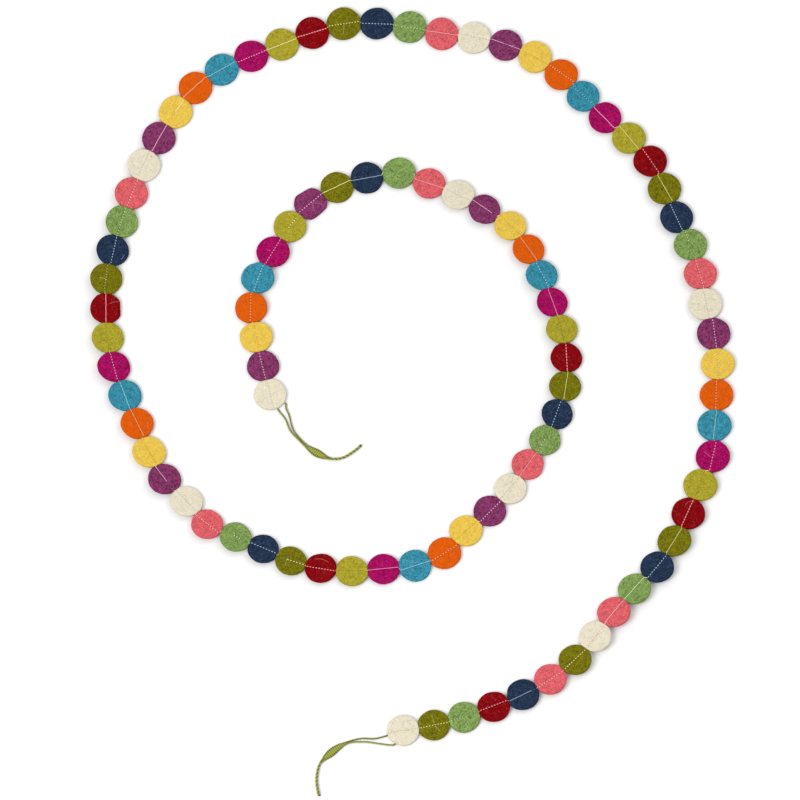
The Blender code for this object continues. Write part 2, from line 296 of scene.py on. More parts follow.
@dataclass(frozen=True)
class Tie:
    """A pair of ribbon tails that twist round each other from twist_row of the stem on."""

    name: str
    disc: int
    strands: Mapping[str, Strand]
    stem: tuple[StemRow, ...]
    twist_row: int


TIES = (
    Tie(
        name="tie_inner",
        disc=1,
        strands={
            "left": Strand(
                leaves_at=-31,
                points=((-115.7, -31.5), (-113.2, -38.0), (-108.6, -54.0)),
                side=1,
            ),
            "right": Strand(
                leaves_at=-64,
                points=((-120.6, -37.0), (-116.9, -42.0), (-111.7, -54.4)),
                side=-1,
            ),
        },
        stem=(
            StemRow(x=-101.2, y=-65.1, spread=0.9),
            StemRow(x=-94.0, y=-71.8, spread=1.3),
            StemRow(x=-87.2, y=-76.3, spread=1.9),
            StemRow(x=-80.6, y=-79.7, spread=1.3),
            StemRow(x=-74.0, y=-82.0, spread=PLY_OFFSET),
            StemRow(x=-63.4, y=-81.0, spread=PLY_OFFSET),
            StemRow(x=-55.2, y=-76.2, spread=PLY_OFFSET),
            StemRow(x=-46.6, y=-68.7, spread=PLY_OFFSET),
        ),
        twist_row=4,
    ),
    Tie(
        name="tie_outer",
        disc=92,
        strands={
            "left": Strand(
                leaves_at=240,
                points=((-19.6, -362.4), (-27.6, -361.4), (-44.4, -359.3)),
                side=1,
            ),
            "right": Strand(
                leaves_at=198,
                points=((-27.0, -354.4), (-33.2, -355.9), (-46.4, -355.9)),
                side=-1,
            ),
        },
        stem=(
            StemRow(x=-59.5, y=-360.2, spread=0.9),
            StemRow(x=-66.6, y=-363.9, spread=1.4),
            StemRow(x=-73.6, y=-369.5, spread=1.9),
            StemRow(x=-79.2, y=-374.6, spread=1.3),
            StemRow(x=-83.6, y=-379.8, spread=PLY_OFFSET),
            StemRow(x=-87.0, y=-392.0, spread=PLY_OFFSET),
            StemRow(x=-86.8, y=-402.8, spread=PLY_OFFSET),
            StemRow(x=-84.8, y=-411.9, spread=PLY_OFFSET),
        ),
        twist_row=4,
    ),
)


# Curves through points


def slopes(knots: Sequence[float], values: Sequence[float]) -> list[float]:
    """Give the slope at each knot of a smooth curve through the values.

    Args:
        knots: Places along the curve.
        values: The curve's value at each place.

    Returns:
        One slope for each knot.
    """
    inner = []
    for i in range(1, len(knots) - 1):
        before = knots[i] - knots[i - 1]
        after = knots[i + 1] - knots[i]
        slope_before = (values[i] - values[i - 1]) / before
        slope_after = (values[i + 1] - values[i]) / after
        inner.append((slope_before * after + slope_after * before) / (before + after))
    first = 2 * (values[1] - values[0]) / (knots[1] - knots[0]) - inner[0]
    last = 2 * (values[-1] - values[-2]) / (knots[-1] - knots[-2]) - inner[-1]
    return [first, *inner, last]


def section_of(knots: Sequence[float], at: float) -> int:
    """Give the number of the stretch between knots that holds a place.

    Args:
        knots: Places along a line.
        at: The place to find.

    Returns:
        The number of the knot that the stretch starts at.
    """
    for i in range(len(knots) - 2):
        if at < knots[i + 1]:
            return i
    return len(knots) - 2


def smooth_value(knots: Sequence[float], values: Sequence[float], at: float) -> float:
    """Read a smooth curve through the values at a place between the knots.

    Args:
        knots: Places along the curve.
        values: The curve's value at each place.
        at: The place to read.

    Returns:
        The curve's value there.
    """
    grades = slopes(knots, values)
    i = section_of(knots, at)
    width = knots[i + 1] - knots[i]
    t = (at - knots[i]) / width
    return (
        (2 * t**3 - 3 * t**2 + 1) * values[i]
        + (t**3 - 2 * t**2 + t) * width * grades[i]
        + (3 * t**2 - 2 * t**3) * values[i + 1]
        + (t**3 - t**2) * width * grades[i + 1]
    )


def straight_value(knots: Sequence[float], values: Sequence[float], at: float) -> float:
    """Read straight lines through the values at a place between the knots.

    Args:
        knots: Places along the line.
        values: The line's value at each place.
        at: The place to read.

    Returns:
        The value there.
    """
    i = section_of(knots, at)
    t = (at - knots[i]) / (knots[i + 1] - knots[i])
    return values[i] + (values[i + 1] - values[i]) * t


def smooth_point(knots: Sequence[float], points: Sequence[Vector], at: float) -> Vector:
    """Read a smooth curve through points at a distance along them.

    Args:
        knots: The distance of each point along the curve.
        points: The points.
        at: The distance to read.

    Returns:
        The point of the curve there.
    """
    return Vector([smooth_value(knots, [p[k] for p in points], at) for k in range(3)])


def chord_lengths(points: Sequence[Vector]) -> list[float]:
    """Give how far along a row of points each one lies.

    Args:
        points: The row of points.

    Returns:
        One distance for each point, from 0 at the first.
    """
    lengths = [0.0]
    for before, after in zip(points, points[1:]):
        lengths.append(lengths[-1] + (after - before).length)
    return lengths


def even_steps(start: float, end: float, step: float) -> list[float]:
    """Give even steps from start to end, both counted in.

    Args:
        start: The first value.
        end: The last value.
        step: About how far apart the values are.

    Returns:
        The values.
    """
    count = max(1, round((end - start) / step))
    return [start + (end - start) * k / count for k in range(count + 1)]


def soft_min(first: float, second: float, blend: float) -> float:
    """Give the smaller of two values, with a rounded corner where they are alike.

    Args:
        first: One value.
        second: The other value.
        blend: How wide the rounded corner is.

    Returns:
        The smaller value, or a little less near the corner.
    """
    share = max(blend - abs(first - second), 0) / blend
    return min(first, second) - share * share * blend / 4


def smooth_step(low: float, high: float, value: float) -> float:
    """Give 0 below low, 1 above high, and a smooth rise between them.

    Args:
        low: Where the rise starts.
        high: Where it ends.
        value: The place to read.

    Returns:
        The height of the rise there.
    """
    t = min(1.0, max(0.0, (value - low) / (high - low)))
    return t * t * (3 - 2 * t)


# The layout of the discs


@dataclass
class Disc:
    """One felt disc: where it lies, how it is turned, and where it is sewn.

    Lengths are in millimetres. In the disc's own frame x runs along the line, y outwards
    and z up. The sewn line runs at y = seam from end to end, with a needle hole at each x
    of holes.
    """

    number: int
    centre: Vector
    heading: float
    radius: float
    roll: float
    pitch: float
    oval_phase: float
    lobe_phase: float
    seam: float
    felt: Felt
    look: Look
    flats: list[tuple[float, float, float]] = field(default_factory=list)
    holes: list[float] = field(default_factory=list)
    placing: Matrix = field(default_factory=lambda: Matrix.Identity(4))

    UNDERSIDE = -DISC_THICKNESS / 4
    FACE = DISC_THICKNESS * 3 / 4
    FACE_WAVE = 0.10
    FACE_WAVE_LENGTH = 6.0
    RIM_NICK = 0.12
    RIM_NICKS_ROUND = 6.0
    RIM_LUMP = 0.45
    RIM_LUMPS_ROUND = 1.6
    FLAT_REACH = 0.3
    NOISE_STEP = 7.3
    SEAM_END_PASSES = 4

    @property
    def name(self) -> str:
        """The disc's name."""
        return f"disc_{self.number:02d}"

    @property
    def node(self) -> str:
        """The CAD node that holds the disc and its mate."""
        first = self.number - (self.number + 1) % 2
        return f"discs_{first:02d}_{first + 1:02d}"

    def plain_radius(self, angle: float) -> float:
        """Give the uncut radius, in millimetres, at an angle from the heading."""
        oval = OVAL_SHARE * math.cos(2 * angle + self.oval_phase)
        lobes = LOBE_SHARE * math.cos(3 * angle + self.lobe_phase)
        return self.radius * (1 + oval + lobes)

    def rim_radius(self, angle: float) -> float:
        """Give the radius where the disc ends at an angle from the heading.

        Args:
            angle: The angle in radians, in the disc's own frame.

        Returns:
            The radius in millimetres, with the rim's nicks, its snips, and the flats where
            it butts its neighbours.
        """
        around = Vector((math.cos(angle), math.sin(angle), self.number * math.e))
        nick = self.RIM_NICK * noise.noise(around * self.RIM_NICKS_ROUND)
        lump = self.RIM_LUMP * noise.noise(around * self.RIM_LUMPS_ROUND)
        reach = self.plain_radius(angle) + nick + lump
        for facing, distance, rounding in self.flats:
            towards = math.cos(angle - facing)
            if towards > self.FLAT_REACH:
                reach = soft_min(reach, distance / towards, rounding)
        return reach

    def is_butted(self, angle: float) -> bool:
        """Tell whether the rim is cut or butts a neighbour at an angle."""
        return self.rim_radius(angle) < self.plain_radius(angle) - self.RIM_LUMP

    def wave(self, x: float, y: float) -> float:
        """Give how far the face stands above or below flat, in millimetres, at a place."""
        place = Vector((x, y, self.NOISE_STEP * self.number)) / self.FACE_WAVE_LENGTH
        return self.FACE_WAVE * noise.noise(place)

    def seam_ends(self) -> tuple[float, float]:
        """Give where the sewn line meets the rim, along x, in millimetres."""
        ends = []
        for way in (-1, 1):
            angle = 0.0 if way > 0 else math.pi
            for _ in range(self.SEAM_END_PASSES):
                reach = self.rim_radius(angle)
                along = math.sqrt(max(reach**2 - self.seam**2, 1.0))
                angle = math.atan2(self.seam, way * along)
            ends.append(way * along)
        return ends[0], ends[1]

    def stitch_place(self, x: float) -> float:
        """Give a place along the sewn line counted in stitches from the first hole."""
        return (x - self.holes[0]) / (self.holes[1] - self.holes[0])

    def in_place(self, point: Vector) -> Vector:
        """Take a point of the disc's own frame, in millimetres, to its place in metres."""
        return self.placing @ (point * MM)


@dataclass
class Layout:
    """Lays the discs along the garland's line, as the CAD has them."""

    butt_gap: float = 0.05
    butt_rounding: float = 0.25
    seam_wander: float = 0.9

    def line_point(self, at: float) -> Vector:
        """Give the point of the garland's line at a disc number, whole or not."""
        knots = [station.disc for station in STATIONS]
        x = smooth_value(knots, [station.x for station in STATIONS], at)
        y = smooth_value(knots, [station.y for station in STATIONS], at)
        return Vector((x, y, 0))

    def spread_along_line(self) -> list[Vector]:
        """Give each disc's place on the line, with the steps between them evened out."""
        places = [float(number) for number in range(1, DISC_COUNT + 1)]
        points = [self.line_point(place) for place in places]
        for _ in range(EVEN_OUT_PASSES):
            for i in range(1, DISC_COUNT - 1):
                before = (points[i] - points[i - 1]).length
                after = (points[i + 1] - points[i]).length
                places[i] += EVEN_OUT_SHARE * (after - before) / NOMINAL_PITCH
                points[i] = self.line_point(places[i])
        return points

    def heading_at(self, points: Sequence[Vector], i: int) -> float:
        """Give the direction of the line at a disc, from its neighbours, in radians."""
        along = points[min(i + 1, len(points) - 1)] - points[max(i - 1, 0)]
        return math.atan2(along.y, along.x)

    def aside_at(self, i: int) -> float:
        """Give how far a disc lies outside the line, in millimetres."""
        chance = random.Random(SEED - i)
        return OFF_LINE.get(i + 1, 0) + chance.uniform(-SIDE_WANDER, SIDE_WANDER)

    def step_radius(self, centres: Sequence[Vector], i: int) -> float:
        """Give the radius that makes a disc just overlap its neighbours."""
        steps = [
            (centres[j] - centres[i]).length for j in (i - 1, i + 1) if 0 <= j < len(centres)
        ]
        return (sum(steps) / len(steps) + RIM_OVERLAP) / 2

    def felt_of(self, number: int) -> Felt:
        """Give the felt colour of a disc."""
        if number in ODD_ONES_OUT:
            return ODD_ONES_OUT[number]
        if number >= LAST_RUN_START:
            return LAST_RUN[number - LAST_RUN_START]
        return COLOUR_CYCLE[(number - 1) % len(COLOUR_CYCLE)]

    def look_of(self, number: int) -> Look:
        """Give how a disc's stitches show."""
        for look, numbers in STITCH_LOOKS.items():
            if number in numbers:
                return look
        return Look.BURIED

    def butt_neighbours(self, discs: Sequence[Disc]) -> None:
        """Give each disc a flat where it butts each neighbour, and its snips.

        Args:
            discs: All the discs, in their order along the line.
        """
        for disc, mate in [*zip(discs, discs[1:]), *zip(discs[1:], discs)]:
            across = mate.centre - disc.centre
            share = disc.radius / (disc.radius + mate.radius)
            facing = math.atan2(across.y, across.x) - disc.heading
            reach = across.length * share - self.butt_gap / 2
            disc.flats.append((facing, reach, self.butt_rounding))
        for number, snips in SNIPS.items():
            disc = discs[number - 1]
            for snip in snips:
                facing = math.radians(snip.facing) - disc.heading
                disc.flats.append((facing, disc.radius * snip.reach, snip.rounding))

    def discs(self) -> list[Disc]:
        """Lay all the discs, each with its own size, outline, tilt and sewn line."""
        points = self.spread_along_line()
        centres = []
        for i, point in enumerate(points):
            heading = self.heading_at(points, i)
            outwards = Vector((-math.sin(heading), math.cos(heading), 0))
            centres.append(point + outwards * self.aside_at(i))
        knots = [station.disc for station in STATIONS]
        rolls = [station.roll for station in STATIONS]
        discs = []
        for i, centre in enumerate(centres):
            chance = random.Random(SEED + i)
            roll = straight_value(knots, rolls, i + 1)
            discs.append(
                Disc(
                    number=i + 1,
                    centre=centre,
                    heading=self.heading_at(points, i),
                    radius=self.step_radius(centres, i)
                    + chance.uniform(-RADIUS_SPREAD, RADIUS_SPREAD),
                    roll=math.radians(roll * (1 + chance.uniform(-ROLL_WANDER, ROLL_WANDER))),
                    pitch=math.radians(roll * chance.uniform(-PITCH_WANDER, PITCH_WANDER)),
                    oval_phase=chance.uniform(0, math.tau),
                    lobe_phase=chance.uniform(0, math.tau),
                    seam=chance.uniform(-self.seam_wander, self.seam_wander),
                    felt=self.felt_of(i + 1),
                    look=self.look_of(i + 1),
                )
            )
        self.butt_neighbours(discs)
        return discs


# Shader nodes


class Wire:
    """A value on its way between nodes, which Python's operators do sums with."""

    def __init__(self, desk: "NodeDesk", socket: bpy.types.NodeSocket | None) -> None:
        """Hold one output socket.

        Args:
            desk: The material's desk.
            socket: The output socket, or None for a node without one.
        """
        self.desk = desk
        self.socket = socket

    def sum(self, operation: str, *others: "Wire | float") -> "Wire":
        """Add one Math node with this value first and the others after it."""
        inputs = dict(enumerate((self, *others)))
        return self.desk.node("ShaderNodeMath", {"operation": operation}, inputs)

    def __add__(self, other: "Wire | float") -> "Wire":
        """Give self + other."""
        return self.sum("ADD", other)

    __radd__ = __add__

    def __sub__(self, other: "Wire | float") -> "Wire":
        """Give self - other."""
        return self.sum("SUBTRACT", other)

    def __rsub__(self, other: float) -> "Wire":
        """Give other - self."""
        return self.desk.node("ShaderNodeMath", {"operation": "SUBTRACT"}, {0: other, 1: self})

    def __mul__(self, other: "Wire | float") -> "Wire":
        """Give self * other."""
        return self.sum("MULTIPLY", other)

    __rmul__ = __mul__

    def __abs__(self) -> "Wire":
        """Give the value without its sign."""
        return self.sum("ABSOLUTE")

    def larger(self, other: "Wire | float") -> "Wire":
        """Give the larger of this and another value."""
        return self.sum("MAXIMUM", other)

    def smaller(self, other: "Wire | float") -> "Wire":
        """Give the smaller of this and another value."""
        return self.sum("MINIMUM", other)

    def from_whole(self) -> "Wire":
        """Give how far the value is from the nearest whole number, from 0 to 0.5."""
        return self.sum("PINGPONG", 0.5)

    def rise(self, low: float, high: float) -> "Wire":
        """Give a smooth rise from 0 at low to 1 at high."""
        settings = {"interpolation_type": "SMOOTHSTEP"}
        inputs = {"Value": self, "From Min": low, "From Max": high}
        return self.desk.node("ShaderNodeMapRange", settings, inputs)

    def fall(self, low: float, high: float) -> "Wire":
        """Give a smooth fall from 1 at low to 0 at high."""
        settings = {"interpolation_type": "SMOOTHSTEP"}
        inputs = {"Value": self, "From Min": low, "From Max": high, "To Min": 1, "To Max": 0}
        return self.desk.node("ShaderNodeMapRange", settings, inputs)


Colour = tuple[float, float, float]
PALEST = 0.95


def shaded(colour: Colour, share: float) -> Colour:
    """Give a colour made darker, or lighter where share is above 1."""
    return tuple(min(PALEST, channel * share) for channel in colour)


def paled(colour: Colour, share: float) -> Colour:
    """Give a colour mixed with a share of white."""
    return tuple(channel + (PALEST - channel) * share for channel in colour)


def brightened(colour: Colour) -> Colour:
    """Give a colour as bright as its hue allows."""
    return shaded(colour, PALEST / max(colour))


class NodeDesk:
    """Makes one material from nodes."""

    def __init__(self, name: str) -> None:
        """Start a material without nodes.

        Args:
            name: The material's name.
        """
        self.material = bpy.data.materials.new(name)
        self.material.use_nodes = True
        self.tree = self.material.node_tree
        self.tree.nodes.clear()

    def node(
        self,
        kind: str,
        settings: Mapping[str, object] | None = None,
        inputs: Mapping[int | str, object] | None = None,
        output: int | str = 0,
    ) -> Wire:
        """Add a node, set it, and connect what it reads.

        Args:
            kind: The node's type.
            settings: Its own settings, set before its sockets. For a ramp, stops is a row
                of places and colours.
            inputs: A value or a Wire for each input socket, by number or name.
            output: The output socket to hand on.

        Returns:
            The output, as a Wire.
        """
        made = self.tree.nodes.new(kind)
        for key, value in (settings or {}).items():
            if key == "stops":
                self.set_stops(made.color_ramp, value)
            else:
                setattr(made, key, value)
        for key, value in (inputs or {}).items():
            if isinstance(value, Wire):
                self.tree.links.new(value.socket, made.inputs[key])
            else:
                made.inputs[key].default_value = value
        return Wire(self, made.outputs[output] if made.outputs else None)

    def set_stops(
        self, ramp: bpy.types.ColorRamp, stops: Sequence[tuple[float, Colour]]
    ) -> None:
        """Give a ramp its stops.

        Args:
            ramp: The ramp of a Color Ramp node.
            stops: A place from 0 to 1 and a colour for each stop.
        """
        while len(ramp.elements) < len(stops):
            ramp.elements.new(1.0)
        for element, (place, colour) in zip(ramp.elements, stops):
            element.position = place
            element.color = (*colour, 1)

    def object_mm(self) -> Wire:
        """Give the place on the piece in millimetres."""
        place = self.node("ShaderNodeTexCoord", output="Object")
        return self.node(
            "ShaderNodeVectorMath", {"operation": "SCALE"}, {0: place, "Scale": 1 / MM}
        )

    def attribute(self, name: str, output: str = "Fac") -> Wire:
        """Give what the piece's own attribute holds."""
        return self.node("ShaderNodeAttribute", {"attribute_name": name}, output=output)

    def map_axes(self, name: str) -> tuple[Wire, Wire]:
        """Give the two numbers of the piece's own UV map."""
        place = self.node("ShaderNodeUVMap", {"uv_map": name})
        along = self.node("ShaderNodeSeparateXYZ", None, {0: place}, output="X")
        across = self.node("ShaderNodeSeparateXYZ", None, {0: place}, output="Y")
        return along, across

    def cloud(
        self,
        place: Wire,
        size: float,
        detail: float = 2.0,
        roughness: float = 0.55,
        twist: float = 0.0,
    ) -> Wire:
        """Give a noise from 0 to 1 with features of about a size.

        Args:
            place: Where to read it.
            size: The features' size, in the place's units.
            detail: How many finer octaves it has.
            roughness: How strong the finer octaves are.
            twist: How far the pattern is twisted.

        Returns:
            The noise.
        """
        inputs = {
            "Vector": place,
            "Scale": 1 / size,
            "Detail": detail,
            "Roughness": roughness,
            "Distortion": twist,
        }
        return self.node("ShaderNodeTexNoise", {"normalize": True}, inputs)

    def blend(self, share: Wire, first: "Wire | Colour", second: "Wire | Colour") -> Wire:
        """Mix two colours.

        Args:
            share: How much of the second colour there is, from 0 to 1.
            first: The first colour.
            second: The second colour.

        Returns:
            The mixed colour.
        """
        colours = [c if isinstance(c, Wire) else (*c, 1) for c in (first, second)]
        settings = {"data_type": "RGBA", "clamp_factor": True}
        # A Mix node's colour sockets are its inputs 6 and 7 and its output 2.
        inputs = {0: share, 6: colours[0], 7: colours[1]}
        return self.node("ShaderNodeMix", settings, inputs, output=2)

    def bump(self, height: Wire, depth: float, strength: float) -> Wire:
        """Give a normal from a height.

        Args:
            height: The height from 0 to 1.
            depth: How far 1 stands above 0, in metres.
            strength: How much of the bump shows.

        Returns:
            The normal.
        """
        inputs = {"Height": height, "Distance": depth, "Strength": strength}
        return self.node("ShaderNodeBump", None, inputs)

    def finish(self, inputs: Mapping[str, object]) -> bpy.types.Material:
        """Put the surface shader on the material.

        Args:
            inputs: A value or a Wire for each of the shader's sockets.

        Returns:
            The material.
        """
        shader = self.node("ShaderNodeBsdfPrincipled", None, inputs)
        self.node("ShaderNodeOutputMaterial", None, {"Surface": shader})
        return self.material


@dataclass(frozen=True)
class FeltFinish:
    """Wool felt of one colour: mottled, with matted fibres, and dented where it is sewn.

    Contrast is how far the felt's tone strays from its colour, the dent shade how dark the
    painted shade in its sewn groove and needle holes is, and thread how bright the thread
    looks on it.
    """

    felt: Felt
    colour: Colour
    contrast: float = 1.0
    painted_dent_shade: float = 0.65
    thread: float = 0.95

    SHADE = 0.42
    BLOOM = 1.62
    MIDDLE_TONE = 0.46
    BLOTCH_SIZE = 4.5
    BLOTCH_SHARE = 0.6
    MOTTLE_SIZE = 1.3
    MOTTLE_SHARE = 1.8
    STROKE_LENGTH = 3.4
    STROKE_WIDTH = 0.62
    STROKE_SHARE = 0.95
    PALE_TURNS = (0.3, 1.4, 2.5)
    PALE_BAND = (0.52, 0.78)
    DARK_TURNS = (0.9, 2.1)
    DARK_BAND = (0.24, 0.46)
    NOISE_STEPS = (13, 7, 5)

    STITCH_MAP = "stitches"
    GROOVE_BAND = (0.15, 0.85)
    GROOVE_SHARE = 0.1
    HOLE_LENGTH_BAND = (0.05, 0.24)
    HOLE_WIDTH_BAND = (0.10, 0.62)
    HOLE_SHARE = 0.9
    HOLE_SHADE = 0.3

    RIM = "rim"
    RIM_BAND = (0.95, 1.0)
    RIM_SHARE = 0.2
    RIM_SHADE = 0.6

    def stroke(self, desk: NodeDesk, place: Wire, turn: float) -> Wire:
        """Give noise drawn out along one direction, as matted wool is.

        Args:
            desk: The material's desk.
            place: Where to read it, in millimetres.
            turn: The direction, in radians, which also picks the part of the noise.

        Returns:
            The noise.
        """
        inputs = {
            "Vector": place,
            "Location": [step * turn for step in self.NOISE_STEPS],
            "Rotation": (0, 0, turn),
            "Scale": (self.STROKE_LENGTH, self.STROKE_WIDTH, self.STROKE_WIDTH),
        }
        drawn = desk.node("ShaderNodeMapping", {"vector_type": "TEXTURE"}, inputs)
        return desk.cloud(drawn, 1.0, detail=1.0, twist=0.9)

    def material(self) -> bpy.types.Material:
        """Make the felt's material."""
        desk = NodeDesk(f"felt_{self.felt.value}")
        place = desk.object_mm()
        blotch = desk.cloud(place, self.BLOTCH_SIZE, detail=1.0)
        mottle = desk.cloud(place, self.MOTTLE_SIZE, detail=1.0, roughness=0.65, twist=0.8)
        pale = self.stroke(desk, place, self.PALE_TURNS[0])
        for turn in self.PALE_TURNS[1:]:
            pale = pale.larger(self.stroke(desk, place, turn))
        dark = self.stroke(desk, place, self.DARK_TURNS[0])
        for turn in self.DARK_TURNS[1:]:
            dark = dark.smaller(self.stroke(desk, place, turn))
        strokes = pale.rise(*self.PALE_BAND) - dark.fall(*self.DARK_BAND)
        clouds = (blotch - 0.5) * self.BLOTCH_SHARE + (mottle - 0.5) * self.MOTTLE_SHARE
        tone = self.MIDDLE_TONE + (clouds + strokes * self.STROKE_SHARE) * self.contrast
        base = desk.blend(tone, shaded(self.colour, self.SHADE), shaded(self.colour, self.BLOOM))

        along, across = desk.map_axes(self.STITCH_MAP)
        groove = abs(across).fall(*self.GROOVE_BAND)
        hole_ends = along.from_whole().fall(*self.HOLE_LENGTH_BAND)
        hole = hole_ends * abs(across).fall(*self.HOLE_WIDTH_BAND)
        # Painted shade: the sewn groove and needle holes are painted darker, as shade falls in them;
        # the same mask also lowers the bump there.
        pressed = groove * self.GROOVE_SHARE + hole * self.HOLE_SHARE
        base = desk.blend(pressed * self.painted_dent_shade, base, shaded(self.colour, self.HOLE_SHADE))
        # The rim band is painted darker: partly the cut felt edge's own deeper colour, partly
        # painted shade on the rounded edge.
        rim = desk.attribute(self.RIM).rise(*self.RIM_BAND)
        base = desk.blend(rim * self.RIM_SHARE, base, shaded(self.colour, self.RIM_SHADE))

        height = mottle * 0.5 + strokes * 0.35 + (1 - pressed) * 0.2
        inputs = {
            "Base Color": base,
            "Roughness": 0.88 + mottle * 0.12,
            "Normal": desk.bump(height, 0.35 * MM, 0.7),
            "Sheen Weight": 0.03,
            "Sheen Roughness": 0.6,
            "Sheen Tint": (*brightened(self.colour), 1),
            "Specular IOR Level": 0.05,
        }
        return desk.finish(inputs)


@dataclass(frozen=True)
class FuzzFinish:
    """The loose fibres of one felt, from darker than the felt to paler."""

    felt: Felt
    colour: Colour

    TONE = "tone"
    STREAK_SIZE = 0.6
    DARK_SHADES = (0.35, 0.6)
    LIGHT_SHADE = 1.4
    PALE_SHADE = 0.75
    PALE_WHITENESS = 0.25

    def material(self) -> bpy.types.Material:
        """Make the fibres' material."""
        desk = NodeDesk(f"fibres_{self.felt.value}")
        tone = desk.attribute(self.TONE)
        streak = desk.cloud(desk.object_mm(), self.STREAK_SIZE, detail=1.0)
        pale = paled(shaded(brightened(self.colour), self.PALE_SHADE), self.PALE_WHITENESS)
        dark = desk.blend(streak, *(shaded(self.colour, share) for share in self.DARK_SHADES))
        light = desk.blend(streak, shaded(self.colour, self.LIGHT_SHADE), pale)
        base = desk.blend(tone, dark, light)
        return desk.finish(
            {
                "Base Color": base,
                "Roughness": 0.85 + streak * 0.1,
                "Specular IOR Level": 0.1,
            }
        )


@dataclass(frozen=True)
class ThreadFinish:
    """White spun thread with the lines of its twist, painted shade in them, tinged by the wool round
    it.
    """

    twist_length: float = 0.45

    TWIST_MAP = "twist"
    TINGE = "tinge"
    WHITENESS = 0.28
    TINGE_SHARE = 0.6
    PLY_GROOVE_SHADE = (0.25, 0.24, 0.22)
    GROOVE_BAND = (0.0, 0.7)
    GROOVE_SHARE = 0.22
    SOIL = (0.45, 0.43, 0.40)
    SOIL_SIZE = 2.5
    SOIL_BAND = (0.5, 0.8)
    SOIL_SHARE = 0.15

    def tinge(self, felt: FeltFinish) -> Colour:
        """Give the thread's colour among a felt's fibres."""
        hue = tuple(channel**self.TINGE_SHARE for channel in brightened(felt.colour))
        return shaded(paled(hue, self.WHITENESS), felt.thread)

    def material(self) -> bpy.types.Material:
        """Make the thread's material."""
        desk = NodeDesk("thread_white")
        along, around = desk.map_axes(self.TWIST_MAP)
        tinge = desk.attribute(self.TINGE, output="Color")
        ply = (along * (1 / self.twist_length) + around * 2).from_whole() * 2
        soil = desk.cloud(desk.object_mm(), self.SOIL_SIZE)
        # Painted shade: the grooves between the thread's twisted plies are painted darker.
        groove = ply.fall(*self.GROOVE_BAND) * self.GROOVE_SHARE
        soiled = soil.rise(*self.SOIL_BAND) * self.SOIL_SHARE
        base = desk.blend(soiled, desk.blend(groove, tinge, self.PLY_GROOVE_SHADE), self.SOIL)
        return desk.finish(
            {
                "Base Color": base,
                "Roughness": 0.5 + soil * 0.2,
                "Normal": desk.bump(ply, 0.05 * MM, 0.8),
                "Specular IOR Level": 0.2,
            }
        )


@dataclass(frozen=True)
class RibbonFinish:
    """Narrow woven ribbon: cross ribs, stitched edges, rolled parts darker with painted light and
    shade.
    """

    face: Colour = (0.245, 0.265, 0.034)
    rolled: Colour = (0.205, 0.215, 0.034)
    edge: Colour = (0.066, 0.075, 0.008)
    tip: Colour = (0.040, 0.030, 0.011)
    rib_length: float = 2.0
    edge_stitch: float = 2.0
    weave_length: float = 0.5

    WEAVE_MAP = "weave"
    OPENED = "opened"
    TIP = "tip"
    BLOTCH_SIZE = 1.6
    RIB_BAND = (0.1, 0.8)
    FACE_SHADES = (0.45, 1.4)
    STITCH_BAND = (0.18, 0.40)
    EDGE_BAND = (-0.2, 0.3)
    WEAVE_SLANT = 0.6
    LIT_BAND = (-0.4, 0.9)
    ROLLED_SHADES = (0.35, 1.6)

    def material(self) -> bpy.types.Material:
        """Make the ribbon's material."""
        desk = NodeDesk("ribbon_green")
        along, across = desk.map_axes(self.WEAVE_MAP)
        opened = desk.attribute(self.OPENED)
        tip = desk.attribute(self.TIP)
        ribs = (along * (1 / self.rib_length)).from_whole() * 2
        blotch = desk.cloud(desk.object_mm(), self.BLOTCH_SIZE)
        ribbed = ribs.rise(*self.RIB_BAND) * 0.7 + blotch * 0.3
        flat = desk.blend(ribbed, *(shaded(self.face, share) for share in self.FACE_SHADES))
        stitches = (along * (1 / self.edge_stitch)).from_whole().fall(*self.STITCH_BAND)
        edge = across.rise(*self.EDGE_BAND) * (0.4 + stitches * 0.6)
        flat = desk.blend(edge, flat, self.edge)
        slanted = along * (1 / self.weave_length) + across * self.WEAVE_SLANT
        weave_line = slanted.from_whole() * 2
        # Painted light and shade: each rolled or twisted ply is painted lit on its outer side and in
        # shade where the plies meet.
        lit = across.rise(*self.LIT_BAND) * 0.6 + blotch * 0.2 + weave_line * 0.2
        roll = desk.blend(lit, *(shaded(self.rolled, share) for share in self.ROLLED_SHADES))
        base = desk.blend(opened, roll, flat)
        base = desk.blend(tip, base, self.tip)
        return desk.finish(
            {
                "Base Color": base,
                "Roughness": 0.55 + blotch * 0.25,
                "Normal": desk.bump(ribs * 0.4 + weave_line * 0.6, 0.12 * MM, 0.8),
                "Sheen Weight": 0.05,
                "Specular IOR Level": 0.2,
            }
        )


